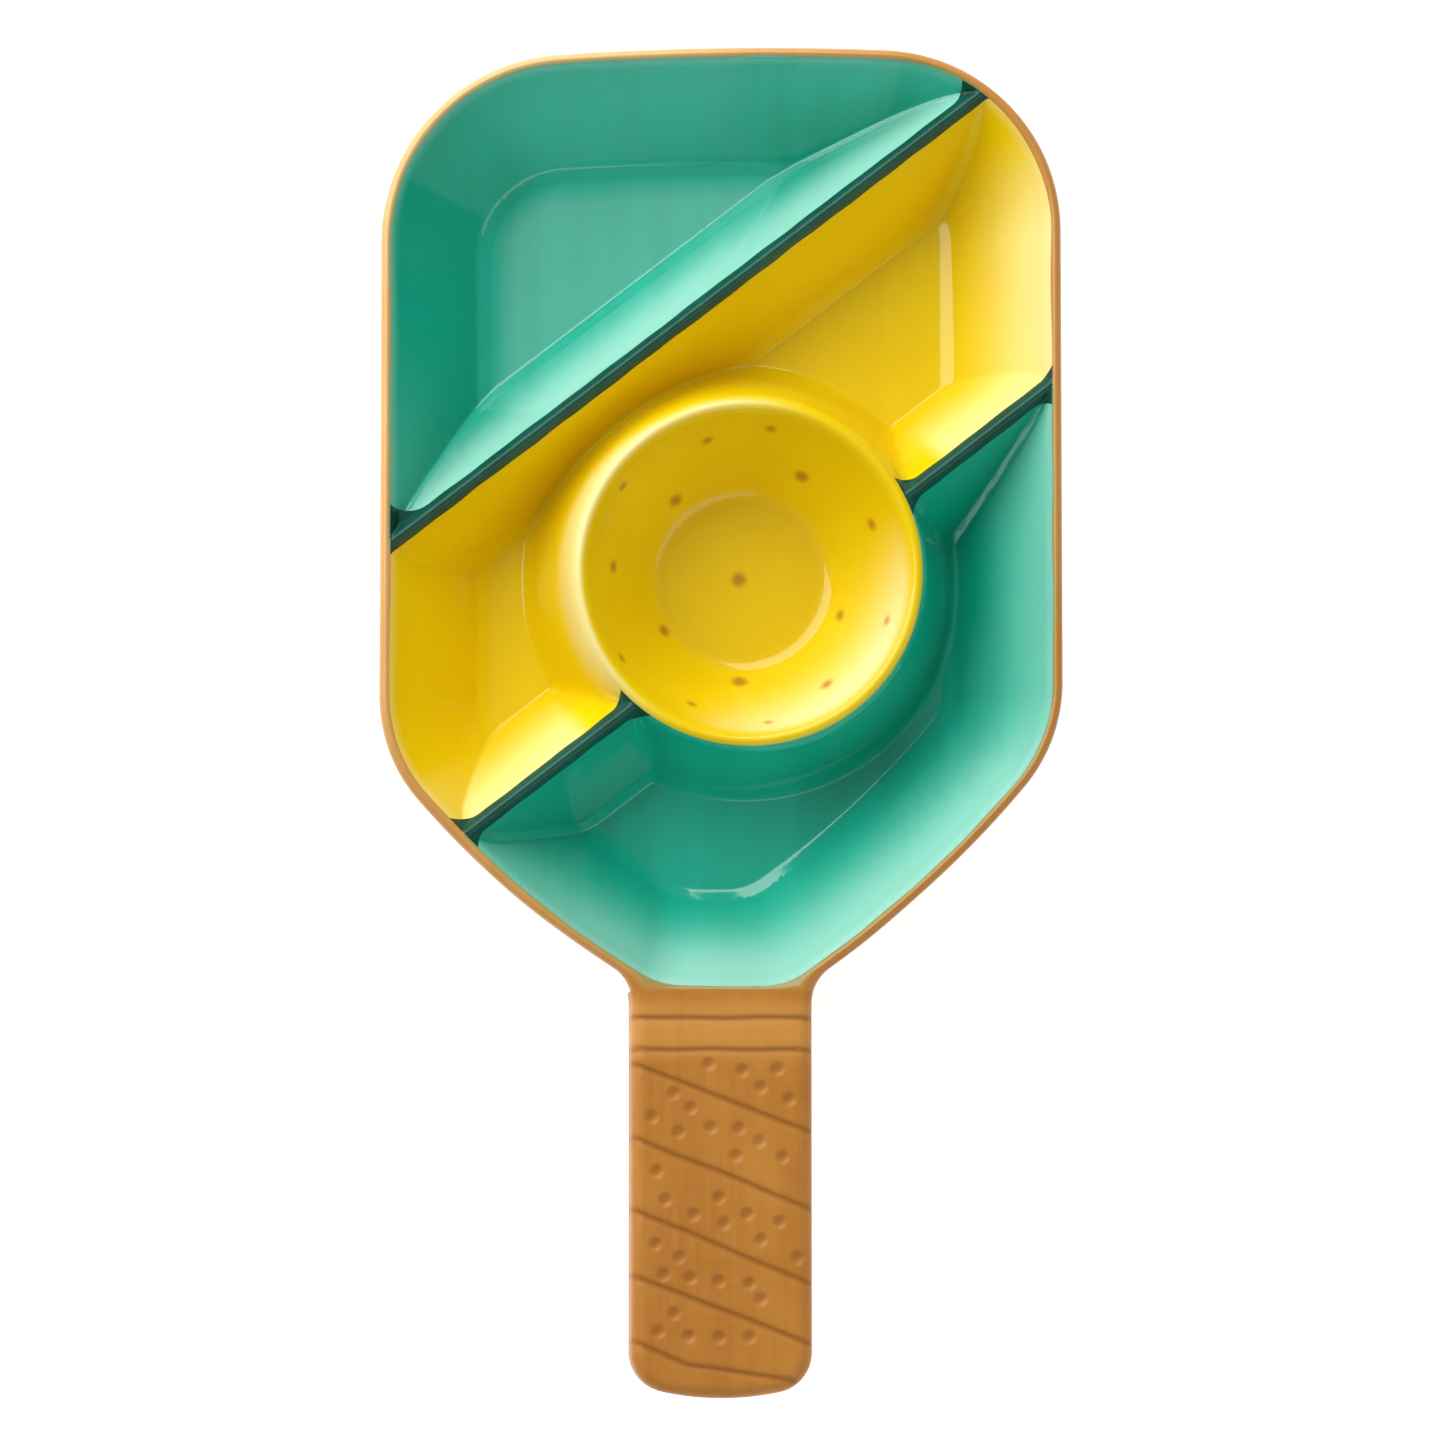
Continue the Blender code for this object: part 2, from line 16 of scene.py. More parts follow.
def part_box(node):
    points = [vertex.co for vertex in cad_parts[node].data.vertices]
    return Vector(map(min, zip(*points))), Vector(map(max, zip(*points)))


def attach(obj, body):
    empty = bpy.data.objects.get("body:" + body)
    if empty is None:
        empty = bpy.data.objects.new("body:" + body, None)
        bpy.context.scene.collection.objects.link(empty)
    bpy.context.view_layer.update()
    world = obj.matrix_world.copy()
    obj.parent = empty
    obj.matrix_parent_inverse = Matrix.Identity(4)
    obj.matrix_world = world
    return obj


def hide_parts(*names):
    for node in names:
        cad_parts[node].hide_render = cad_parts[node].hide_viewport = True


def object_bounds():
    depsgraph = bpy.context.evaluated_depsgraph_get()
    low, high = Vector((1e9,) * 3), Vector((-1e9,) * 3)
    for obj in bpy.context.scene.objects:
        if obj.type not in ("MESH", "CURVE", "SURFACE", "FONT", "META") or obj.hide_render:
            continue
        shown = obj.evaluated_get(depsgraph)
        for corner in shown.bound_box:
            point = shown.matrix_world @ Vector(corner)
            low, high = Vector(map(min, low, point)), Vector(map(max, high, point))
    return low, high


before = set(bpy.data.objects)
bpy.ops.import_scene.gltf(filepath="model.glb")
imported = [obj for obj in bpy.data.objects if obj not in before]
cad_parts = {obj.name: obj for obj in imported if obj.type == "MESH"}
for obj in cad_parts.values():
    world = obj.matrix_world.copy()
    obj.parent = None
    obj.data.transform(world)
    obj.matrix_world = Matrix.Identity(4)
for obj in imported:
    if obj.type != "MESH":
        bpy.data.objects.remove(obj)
CAD_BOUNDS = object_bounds()

MM = 0.001


def box_mm(node):
    low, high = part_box(node)
    return low / MM, high / MM


LOW, HIGH = (corner / MM for corner in CAD_BOUNDS)
RIM_BOX = box_mm("rim_band")
BOWL_BOX = box_mm("dip_bowl")
GRIP_BOX = box_mm("handle_grip")
FOOT_BOX = box_mm("foot_ring")
CREST_BOX = box_mm("long_divider_crest")

# Levels, from the CAD model
RIM_TOP = RIM_BOX[1].z
GRIP_TOP = GRIP_BOX[1].z
GRIP_BOTTOM = GRIP_BOX[0].z
CREST_TOP = CREST_BOX[1].z
BOWL_TOP = BOWL_BOX[1].z
FOOT_TOP = FOOT_BOX[1].z
BOWL_X = (BOWL_BOX[0].x + BOWL_BOX[1].x) / 2 - 1.0
BOWL_Y = (BOWL_BOX[0].y + BOWL_BOX[1].y) / 2 - 1.8

# Outline of the paddle, as arcs that touch each other
CROWN_RADIUS = 897
TOP_CORNER_RADIUS = 56
SIDE_LENGTH = 137
LOWER_CORNER_RADIUS = 48.4
LOWER_CORNER_TURN = math.radians(40.65)
SHOULDER_RADIUS = 297
SHOULDER_TURN = math.radians(15.2)
SHOULDER_RUN_ON = 0.4           # radians by which it runs on past the neck
NECK_RADIUS = 12.2
GRIP_CORNER_RADIUS = 12
GRIP_END_RADIUS = 85
NECK_Y = RIM_BOX[0].y
NECK_SOFTNESS = 3.5
NECK_REACH = 1.6                # the tray runs this much closer to the neck than to its sides
SKEW = 0.025                    # the blade's right side sits higher by this share of x
SKEW_FADE = 30                  # it is lost over this length before the neck

# Tray
MOUTH_INSET = 3.1               # width of the brown band
MOUTH_WOBBLE = 0.22             # unsteadiness of the brush along it
FLOOR_Z = 10
WALL_TOP = 44.2
WALL_SLOPE = 1.44               # at the rim
WALL_CURVE = 0.0174             # the wall gets less steep by this much a millimetre
WALL_CREASE = 1.0
RIM_ROUNDING = 2.4
GRIP_ROUNDING = 4
CAP_SOFTNESS = 1.5
GRIP_BLEND = (-90, -75)         # the rim turns into the grip between these
WAVINESS = 0.10
WAVINESS_FADE = 8               # it starts this far inside the mouth
GRIP_WAVINESS = 0.12

# Dividers
DIVIDER_SLANT = math.radians(37.8)
LONG_OFFSET = -102.0
SHORT_OFFSET = -19.1
RIDGE_SLOPE = 1.94
RIDGE_TIP = 1.6                 # rounding of the ridge's top
RIDGE_CREASE = 1.6
CREASE_EDGE = 0.4               # rounding at a crease's sides, as a share of it
FILLET_LEAST = 0.12             # fillets shrink to this share of their size
FILLET_HEIGHTS = (44.5, 34)     # between these heights
CREST_HALF_WIDTH = 2.5
FLARE = 0.55                    # width of a crest's flare, as a share of its reach
CREST_LIFT = 0.34
CREST_EDGE_LIFT = 0.10
CREST_EDGE = 1.1                # the bead rises over this width
CREST_WOBBLE = 0.18
CREST_MIDDLE = 75               # a short crest's middle from the bowl's axis
FLARE_LIFT = 0.4                # lift of the flares, as a share of the bead's
FLARE_START = 3

# Bowl
BOWL_PAINT_RADIUS = 52.4
BOWL_FLOOR_Z = 11
BOWL_FLOOR_RADIUS = 26
BOWL_FLOOR_SOFTNESS = 3.2
LIP_RADIUS = 51.1
LIP_SOFTNESS = 22
SKIRT_SLOPE = 3.1
SKIRT_SOFTNESS = 11
BASIN_ANGLES = (math.radians(46), math.radians(71))     # of the inner wall at the floor and the lip
BASIN_LEAST, BASIN_MOST = 0.05, math.radians(78)

# Grooves of the grip: height at its left and right side
GROOVE_SIDE_X = 25.5
RING_GROOVES = ((-90.2, -90.2), (-99.7, -99.7))
WRAP_GROOVES = ((-104.3, -123.8), (-126.3, -146.6), (-147.6, -168.9), (-167.3, -186.6))
LAST_GROOVE = ((-27, -186.0), (-10.2, -193.1), (24, -198.4))
GROOVE_RUN_OUT = 4              # the grooves run on past the sides
GROOVE_DEPTH = 0.62
GROOVE_HALF_WIDTH = 1.05
GROOVE_SHARPNESS = 1.6
GROOVE_WOBBLE = 0.25
# Dimples between the grooves: place across the grip, and drop below the groove above
DIMPLES = (
    ((-4, 4), (6, 6), (16.5, 5.5), (11.5, 11), (20, 14.5)),
    ((-14.5, 4), (-9.5, 6.5), (-21, 13.5), (-13, 15), (-3.5, 10), (5, 7), (11, 8.5), (4, 15.5), (18, 10.5)),
    ((-19.5, 7), (-17, 14.5), (-1, 7.5), (-8.5, 15.5), (7.5, 9), (17, 7.5), (0.5, 14.5),
     (11.5, 15), (22.5, 16)),
    ((-20, 7.5), (-13, 8.5), (-17.5, 15.5), (-9.5, 13), (-1, 10.5), (8, 7.5), (11.5, 10.5)),
    ((-14.5, 6.5), (-19, 13.5), (-10, 11.5), (-1, 8.5), (8, 5)),
)
DIMPLE_RADIUS = 1.75
DIMPLE_DEPTH = 0.8
DIMPLE_SHARPNESS = 4

# Meshes
TRAY_GRID = 1.3
CREASE_GRID = 0.6
CREASE_BEND = 0.12              # curvature from which the finer grid is used
GRIP_GRID = 0.6
SHELL_GRID = 3.0
CREST_GRID = 0.75
RIM_SPACING = 1.4
GRIP_SPACING = 0.9
NECK_POINTS = 90
CONTOUR_GRID = 0.6
# Grids of the contours from above: first and last x, first and last y
MOUTH_AREA = (-103.13, 103.4, -83.17, 203.5)
CREST_AREA = (-103.31, 103.4, -83.07, 203.5)
RIM_RINGS = (0.0, 0.08, 0.3, 0.7, 1.2, 1.7, 2.3)
GRIP_RINGS = (0.0, 0.08, 0.3, 0.7, 1.2, 1.9, 2.7, 3.6, 4.6)
BAND_BOTTOM = 41.0
DISH_SKIN = 2.5
BOWL_TURNS = 256


# Plan: distances from the outline, positive inside

def arc_piece(start, heading, radius, turn):
    """An arc as (centre, radius, side, first angle, last angle), its end and end heading."""
    side = math.copysign(1, turn)
    centre = start + radius * side * np.array((math.sin(heading), -math.cos(heading)))
    ends = []
    for angle in (heading, heading - turn):
        ends.append(angle + math.pi / 2 + (0 if side > 0 else math.pi))
    end = centre - radius * side * np.array((math.sin(heading - turn), -math.cos(heading - turn)))
    return (centre, radius, side, min(ends), max(ends)), end, heading - turn


def crown_turn(half_width, corner, crown):
    return math.asin((half_width - corner) / (crown - corner))


def outline_pieces():
    """Right half of the outline, split into the blade's and the grip's pieces."""
    crown = crown_turn(HIGH.x, TOP_CORNER_RADIUS, CROWN_RADIUS)
    point, heading = np.array((0.0, HIGH.y)), 0.0
    blade = []
    for radius, turn in ((CROWN_RADIUS, crown), (TOP_CORNER_RADIUS, math.pi / 2 - crown)):
        piece, point, heading = arc_piece(point, heading, radius, turn)
        blade.append(piece)
    blade.append((point[0], point[1] - SIDE_LENGTH, point[1]))
    point = point + (0, -SIDE_LENGTH)
    for radius, turn in ((LOWER_CORNER_RADIUS, LOWER_CORNER_TURN), (SHOULDER_RADIUS, SHOULDER_TURN)):
        piece, point, heading = arc_piece(point, heading, radius, turn)
        blade.append(piece)
    neck, point, heading = arc_piece(point, heading, NECK_RADIUS, -(LOWER_CORNER_TURN + SHOULDER_TURN))
    half_width = point[0]
    crown = crown_turn(half_width, GRIP_CORNER_RADIUS, GRIP_END_RADIUS)
    grip = []
    corner_start, turned = np.array((half_width, 0.0)), heading
    for radius, turn in ((GRIP_CORNER_RADIUS, math.pi / 2 - crown), (GRIP_END_RADIUS, crown)):
        piece, corner_start, turned = arc_piece(corner_start, turned, radius, turn)
        grip.append(piece)
    drop = LOW.y - corner_start[1]
    grip = [(centre + (0, drop), *rest) for centre, *rest in grip]
    line = (half_width, drop, point[1])
    return blade, [neck, line] + grip


def piece_distance(piece, x, y):
    """Distance inside one piece of the outline, and where that piece counts."""
    if len(piece) == 3:
        line_x, low, high = piece
        return line_x - x, (y >= low) & (y <= high)
    centre, radius, side, first, last = piece
    angle = np.arctan2(y - centre[1], x - centre[0])
    middle = (first + last) / 2
    angle = (angle - middle + math.pi) % (2 * math.pi) - math.pi
    reach = np.hypot(x - centre[0], y - centre[1])
    return side * (radius - reach), np.abs(angle) <= (last - first) / 2 + 1e-6


def smooth_max(a, b, k):
    return np.maximum(a, b) + np.maximum(k - np.abs(a - b), 0) ** 2 / (4 * k)


def smooth_min(a, b, k):
    return np.minimum(a, b) - np.maximum(k - np.abs(a - b), 0) ** 2 / (4 * k)


def smooth_step(low, high, value):
    t = np.clip((value - low) / (high - low), 0, 1)
    return t * t * (3 - 2 * t)


def skew(x, y):
    """How far the blade is raised at a place of the skewed paddle."""
    return SKEW * x * smooth_step(NECK_Y, NECK_Y + SKEW_FADE, y)


def nearest(pieces, x, y):
    y = y - skew(x, y)
    best = np.full(np.shape(x), 1e6)
    for piece in pieces:
        distance, counts = piece_distance(piece, np.abs(x), y)
        closer = counts & (np.abs(distance) < np.abs(best))
        best = np.where(closer, distance, best)
    return best


BLADE, GRIP = outline_pieces()
# The shoulder runs on past the neck, so that the tray's own outline closes there
BLADE_LONG = BLADE[:-1] + [BLADE[-1][:3] + (BLADE[-1][3] - SHOULDER_RUN_ON, BLADE[-1][4])]


def paddle_inset(x, y):
    return nearest(BLADE + GRIP, x, y)


def tray_inset(x, y):
    return smooth_min(nearest(BLADE_LONG, x, y), y - NECK_Y, NECK_SOFTNESS)


def dish_inset(x, y):
    return smooth_min(nearest(BLADE_LONG, x, y), y - NECK_Y + NECK_REACH, NECK_SOFTNESS)


def ripple(x, y):
    """Slow unevenness of hand work, between -1 and 1."""
    return (np.sin(x / 17.0 + 1.3 * np.sin(y / 29.0)) * np.cos(y / 21.0 - 0.7 * np.sin(x / 23.0 + 2))
            + 0.5 * np.sin(x / 7.9 + y / 11.3 + 0.8)) / 1.5


def mouth_inset(x, y):
    """Distance inside the tray's mouth, where the brown band ends."""
    return dish_inset(x, y) - MOUTH_INSET - MOUTH_WOBBLE * ripple(x * 1.9 + 40, y * 1.9)


def across_divider(x, y, offset):
    return x * math.sin(DIVIDER_SLANT) - y * math.cos(DIVIDER_SLANT) - offset


def along_divider(x, y):
    return x * math.cos(DIVIDER_SLANT) + y * math.sin(DIVIDER_SLANT)


def bowl_radius(x, y):
    return np.hypot(x - BOWL_X, y - BOWL_Y)


BOWL_ALONG = along_divider(BOWL_X, BOWL_Y)


# Heights

def basin_height(radius):
    """Inner wall of the bowl, steeper towards the lip."""
    first, last = BASIN_ANGLES
    rate = (last - first) / (LIP_RADIUS - BOWL_FLOOR_RADIUS)
    whole = (math.log(math.cos(first)) - math.log(math.cos(last))) / rate
    rise = BOWL_TOP + LIP_SOFTNESS / 4 - BOWL_FLOOR_Z
    angle = np.clip(first + rate * (radius - BOWL_FLOOR_RADIUS), BASIN_LEAST, BASIN_MOST)
    height = (math.log(math.cos(first)) - np.log(np.cos(angle))) / rate
    return BOWL_FLOOR_Z + rise * height / whole


def lip_height(radius):
    outside = BOWL_TOP + LIP_SOFTNESS / 4 - SKIRT_SLOPE * (radius - LIP_RADIUS)
    return smooth_min(basin_height(radius), outside, LIP_SOFTNESS)


def bowl_height(radius):
    return smooth_max(lip_height(radius), BOWL_FLOOR_Z, BOWL_FLOOR_SOFTNESS)


def ridge_height(distance):
    return CREST_TOP - CREST_LIFT - RIDGE_SLOPE * (np.hypot(distance, RIDGE_TIP) - RIDGE_TIP)


def faded(softness, height):
    """Fillets get tighter towards the rim."""
    return softness * (FILLET_LEAST + (1 - FILLET_LEAST) * smooth_step(*FILLET_HEIGHTS, height))


def join(a, b, softness):
    return smooth_max(a, b, faded(softness, np.maximum(a, b)))


def crease(a, b, rise):
    """Join two slopes by a narrow flat band, as a loop tool leaves it."""
    rise = faded(rise, np.maximum(a, b))
    return smooth_max(np.maximum(a, b), (a + b) / 2 + rise, CREASE_EDGE * rise)


def dish_height(x, y, with_bowl=True):
    inside = dish_inset(x, y) - MOUTH_INSET
    wall = WALL_TOP - WALL_SLOPE * inside + WALL_CURVE * inside ** 2 / 2
    level = crease(wall, FLOOR_Z, WALL_CREASE)
    for offset in (LONG_OFFSET, SHORT_OFFSET):
        level = crease(level, ridge_height(across_divider(x, y, offset)), RIDGE_CREASE)
    if with_bowl:
        level = join(level, lip_height(np.maximum(bowl_radius(x, y), LIP_RADIUS)), SKIRT_SOFTNESS)
    return level + WAVINESS * ripple(x, y) * smooth_step(0, WAVINESS_FADE, mouth_inset(x, y))


def bend(x, y, step=0.5):
    """Curvature of the dishes."""
    around = (dish_height(x + step, y) + dish_height(x - step, y) + dish_height(x, y + step)
              + dish_height(x, y - step))
    return np.abs(around - 4 * dish_height(x, y)) / step ** 2


def rounding(distance, radius):
    room = np.clip(radius - distance, 0, radius)
    return radius - np.sqrt(np.maximum(radius * radius - room * room, 0))


def groove_lines():
    lines = []
    for left, right in RING_GROOVES + WRAP_GROOVES:
        slope = (right - left) / (2 * GROOVE_SIDE_X)
        reach = GROOVE_SIDE_X + GROOVE_RUN_OUT
        drop = slope * GROOVE_RUN_OUT
        lines.append(((-reach, left - drop), (reach, right + drop)))
    lines += [(LAST_GROOVE[0], LAST_GROOVE[1]), (LAST_GROOVE[1], LAST_GROOVE[2])]
    return lines


def line_distance(x, y, start, end):
    dx, dy = end[0] - start[0], end[1] - start[1]
    share = np.clip(((x - start[0]) * dx + (y - start[1]) * dy) / (dx * dx + dy * dy), 0, 1)
    return np.hypot(x - start[0] - share * dx, y - start[1] - share * dy)


def dimple_centres():
    above = (RING_GROOVES[-1],) + WRAP_GROOVES
    centres = []
    for (left, right), band in zip(above, DIMPLES):
        for across, drop in band:
            groove = left + (right - left) * (across + GROOVE_SIDE_X) / (2 * GROOVE_SIDE_X)
            centres.append((across, groove - drop))
    return centres


def carving(x, y):
    """Depth of the grip's grooves and dimples, as a share of the full depth, each."""
    groove = np.full(np.shape(x), 1e3)
    uneven = GROOVE_WOBBLE * ripple(x * 2.3, y * 2.3)
    for start, end in groove_lines():
        groove = np.minimum(groove, line_distance(x, y + uneven, start, end))
    dimple = np.full(np.shape(x), 1e3)
    for centre_x, centre_y in dimple_centres():
        dimple = np.minimum(dimple, np.hypot(x - centre_x, y - centre_y))
    groove = 1 / (1 + (groove / GROOVE_HALF_WIDTH) ** 2) ** GROOVE_SHARPNESS
    dimple = np.exp(-(dimple / DIMPLE_RADIUS) ** DIMPLE_SHARPNESS)
    return groove, dimple


def cap_height(x, y):
    """The rim's and the grip's top, with the outside edge rounded."""
    grip = 1 - smooth_step(*GRIP_BLEND, y)
    level = RIM_TOP + (GRIP_TOP - RIM_TOP) * grip
    radius = RIM_ROUNDING + (GRIP_ROUNDING - RIM_ROUNDING) * grip
    return level - rounding(paddle_inset(x, y), radius)


def grip_height(x, y):
    groove, dimple = carving(x, y)
    return (cap_height(x, y) - GROOVE_DEPTH * groove - DIMPLE_DEPTH * dimple
            - GRIP_WAVINESS * (ripple(x, y) + 1) / 2)


def top_height(x, y):
    """The whole upper surface outside the bowl, without the crests' lift."""
    return smooth_min(dish_height(x, y), cap_height(x, y), CAP_SOFTNESS)


def flare(distance, reach):
    return FLARE * reach * np.clip(1 - distance / reach, 0, 1) ** 2


# Crests: offset, which side of the bowl (0 for the whole divider), and the reach of the
# flares at its left and right end, on its upper left side and its lower right side
CRESTS = {
    "long_divider_crest": (LONG_OFFSET, 0, (12.0, 1.0), (7.5, 1.0)),
    "left_divider_crest": (SHORT_OFFSET, -1, (7.5, 5.5), (6.5, 6.0)),
    "right_divider_crest": (SHORT_OFFSET, 1, (7.5, 6.5), (3.5, 4.5)),
}


def crest_inset(name, x, y):
    """Distance inside a crest's outline."""
    offset, side, left, right = CRESTS[name]
    across = across_divider(x, y, offset)
    along = along_divider(x, y) - BOWL_ALONG
    at_left = along < side * CREST_MIDDLE
    reach_above = np.where(at_left, left[0], right[0])
    reach_below = np.where(at_left, left[1], right[1])
    reach = np.where(across < 0, reach_above, reach_below)
    wide = flare(mouth_inset(x, y), reach)
    if side:
        wide = np.maximum(wide, flare(bowl_radius(x, y) - BOWL_PAINT_RADIUS, reach))
    uneven = CREST_WOBBLE * ripple(x * 2.7, y * 2.7)
    inside = CREST_HALF_WIDTH + uneven + wide - np.abs(across)
    inside = np.minimum(inside, mouth_inset(x, y))
    if side:
        inside = np.minimum(inside, bowl_radius(x, y) - BOWL_PAINT_RADIUS)
        inside = np.minimum(inside, side * along)
    return inside


def crest_lift(name, x, y):
    across = across_divider(x, y, CRESTS[name][0])
    inside = np.clip(CREST_HALF_WIDTH + FLARE_START - np.abs(across), 0, 1)
    share = np.clip(crest_inset(name, x, y) / CREST_EDGE, 0, 1)
    lift = CREST_EDGE_LIFT + (CREST_LIFT - CREST_EDGE_LIFT) * np.sin(share * math.pi / 2)
    return lift * (FLARE_LIFT + (1 - FLARE_LIFT) * inside)


# Triangulation

def contour(field, x0, x1, y0, y1, step):
    """Points and edges where field is zero, from a grid of triangles."""
    xs = np.arange(x0, x1 + step, step)
    ys = np.arange(y0, y1 + step, step)
    x, y = np.meshgrid(xs, ys)
    value = field(x, y)
    value = np.where(np.abs(value) < 1e-9, 1e-9, value)
    rows, columns = value.shape
    index = np.arange(rows * columns).reshape(rows, columns)
    corner = (index[:-1, :-1].ravel(), index[:-1, 1:].ravel(), index[1:, 1:].ravel(), index[1:, :-1].ravel())
    triangles = np.concatenate([np.stack((corner[0], corner[1], corner[2]), 1),
                                np.stack((corner[0], corner[2], corner[3]), 1)])
    flat, px, py = value.ravel(), x.ravel(), y.ravel()
    positive = flat[triangles] > 0
    triangles = triangles[(positive.sum(1) % 3) != 0]
    positive = flat[triangles] > 0
    lone = np.where(positive.sum(1) == 1, positive.argmax(1), (~positive).argmax(1))
    rows_of = np.arange(len(triangles))
    apex = triangles[rows_of, lone]
    ends = []
    for turn in (1, 2):
        other = triangles[rows_of, (lone + turn) % 3]
        ends.append(np.stack((np.minimum(apex, other), np.maximum(apex, other)), 1))
    keys, inverse = np.unique(np.concatenate(ends), axis=0, return_inverse=True)
    inverse = inverse.reshape(-1)
    a, b = keys[:, 0], keys[:, 1]
    share = flat[a] / (flat[a] - flat[b])
    points = np.stack((px[a] + share * (px[b] - px[a]), py[a] + share * (py[b] - py[a])), 1)
    return points, np.stack((inverse[:len(triangles)], inverse[len(triangles):]), 1)


def outline_points(inset, spacing):
    """Closed line of points inside the whole outline by an inset."""
    half = []
    for piece in BLADE + GRIP:
        if len(piece) == 3:
            line_x, low, high = piece
            steps = max(2, int((high - low) / spacing))
            y = np.linspace(high, low, steps, endpoint=False)
            half.append(np.stack((np.full(steps, line_x - inset), y), 1))
            continue
        centre, radius, side, first, last = piece
        reach = radius - side * inset
        steps = max(3, int((last - first) * max(reach, 3) / spacing))
        angles = np.linspace(last, first, steps, endpoint=False)
        if side < 0:
            angles = np.linspace(first, last, steps, endpoint=False)
        half.append(centre + reach * np.stack((np.cos(angles), np.sin(angles)), 1))
    right = np.concatenate(half)
    bottom = np.array([[0.0, LOW.y + inset]])
    left = right[1:][::-1] * (-1, 1)
    ring = np.concatenate([right, bottom, left])
    level = ring[:, 1].copy()
    for _ in range(4):
        ring[:, 1] = level + skew(ring[:, 0], ring[:, 1])
    return ring


def closed_edges(count):
    first = np.arange(count)
    return np.stack((first, (first + 1) % count), 1)


def hex_grid(x0, x1, y0, y1, step):
    rows = int((y1 - y0) / (step * 0.866)) + 1
    columns = int((x1 - x0) / step) + 1
    x, y = np.meshgrid(np.arange(columns) * step + x0, np.arange(rows) * step * 0.866 + y0)
    x = x + (np.arange(rows)[:, None] % 2) * step / 2
    return np.stack((x.ravel(), y.ravel()), 1)


def triangulate(points, edges):
    vectors = [Vector(point) for point in points.tolist()]
    result = delaunay_2d_cdt(vectors, edges.tolist(), [], 0, 1e-5)
    return np.array([tuple(v) for v in result[0]]), np.array([tuple(f) for f in result[2]])


def without(points, field, margin):
    return points[np.abs(field(points[:, 0], points[:, 1])) > margin]


def pile(parts):
    """Put lists of (points, edges) together."""
    points, edges, count = [], [], 0
    for some, links in parts:
        points.append(some)
        edges.append(links + count)
        count += len(some)
    return np.concatenate(points), np.concatenate(edges)


NO_EDGES = np.zeros((0, 2), int)


def bowl_gap(x, y):
    return bowl_radius(x, y) - BOWL_PAINT_RADIUS


def plan_of_top():
    """Triangles of the whole top in plan, with edges along every change of glaze."""
    lines = []
    for inset in RIM_RINGS:
        ring = outline_points(inset, RIM_SPACING)
        if inset:
            ring = ring[ring[:, 1] > NECK_Y + 1]
        lines.append((ring, closed_edges(len(ring)) if not inset else NO_EDGES))
    for inset in GRIP_RINGS[1:]:
        ring = outline_points(inset, GRIP_SPACING)
        ring = ring[ring[:, 1] < NECK_Y - 0.5]
        lines.append((ring, NO_EDGES))
    neck_x = np.linspace(-1, 1, NECK_POINTS) * neck_half_width()
    neck = np.stack((neck_x, np.full(NECK_POINTS, NECK_Y)), 1)
    lines.append((neck, closed_edges(NECK_POINTS)[:-1]))
    lines.append(contour(mouth_inset, *MOUTH_AREA, CONTOUR_GRID))
    for name in CRESTS:
        lines.append(contour(lambda x, y: crest_inset(name, x, y), *CREST_AREA, CONTOUR_GRID * 0.8))
    angles = np.linspace(0, 2 * math.pi, BOWL_TURNS, endpoint=False)
    circle = BOWL_PAINT_RADIUS * np.stack((np.cos(angles), np.sin(angles)), 1) + (BOWL_X, BOWL_Y)
    lines.append((circle, closed_edges(BOWL_TURNS)))
    ring = (circle - (BOWL_X, BOWL_Y)) * (1 + 0.9 / BOWL_PAINT_RADIUS) + (BOWL_X, BOWL_Y)
    lines.append((ring, NO_EDGES))
    tray = hex_grid(-HIGH.x, HIGH.x, NECK_Y + 1, HIGH.y, TRAY_GRID)
    fine = hex_grid(-HIGH.x, HIGH.x, NECK_Y + 1, HIGH.y, CREASE_GRID)
    tray = np.concatenate([tray[bend(tray[:, 0], tray[:, 1]) <= CREASE_BEND],
                           fine[bend(fine[:, 0], fine[:, 1]) > CREASE_BEND]])
    tray = tray[(tray_inset(tray[:, 0], tray[:, 1]) > RIM_RINGS[-1] + 0.5)]
    tray = tray[bowl_gap(tray[:, 0], tray[:, 1]) > 1.3]
    tray = without(tray, mouth_inset, 0.5)
    for name in CRESTS:
        tray = without(tray, lambda x, y: crest_inset(name, x, y), 0.45)
    grip = hex_grid(-60, 60, LOW.y, NECK_Y - 0.4, GRIP_GRID)
    grip = grip[paddle_inset(grip[:, 0], grip[:, 1]) > GRIP_RINGS[-1] + 0.3]
    crests = hex_grid(-HIGH.x, HIGH.x, NECK_Y, HIGH.y, CREST_GRID)
    inside = np.max([crest_inset(name, crests[:, 0], crests[:, 1]) for name in CRESTS], axis=0)
    crests = crests[inside > 0.4]
    lines += [(tray, NO_EDGES), (grip, NO_EDGES), (crests, NO_EDGES)]
    return triangulate(*pile(lines))


def neck_half_width():
    """Half width of the paddle at the neck line, by bisection on its outline."""
    low, high = 10.0, 60.0
    for _ in range(40):
        middle = (low + high) / 2
        if paddle_inset(np.array([middle]), np.array([NECK_Y]))[0] > 0:
            low = middle
        else:
            high = middle
    return low


# Meshes

def slopes(field, x, y, step=0.04):
    along_x = (field(x + step, y) - field(x - step, y)) / (2 * step)
    along_y = (field(x, y + step) - field(x, y - step)) / (2 * step)
    return along_x, along_y


def field_normals(field, x, y):
    along_x, along_y = slopes(field, x, y)
    normals = np.stack((-along_x, -along_y, np.ones_like(x)), 1)
    return normals / np.linalg.norm(normals, axis=1)[:, None]


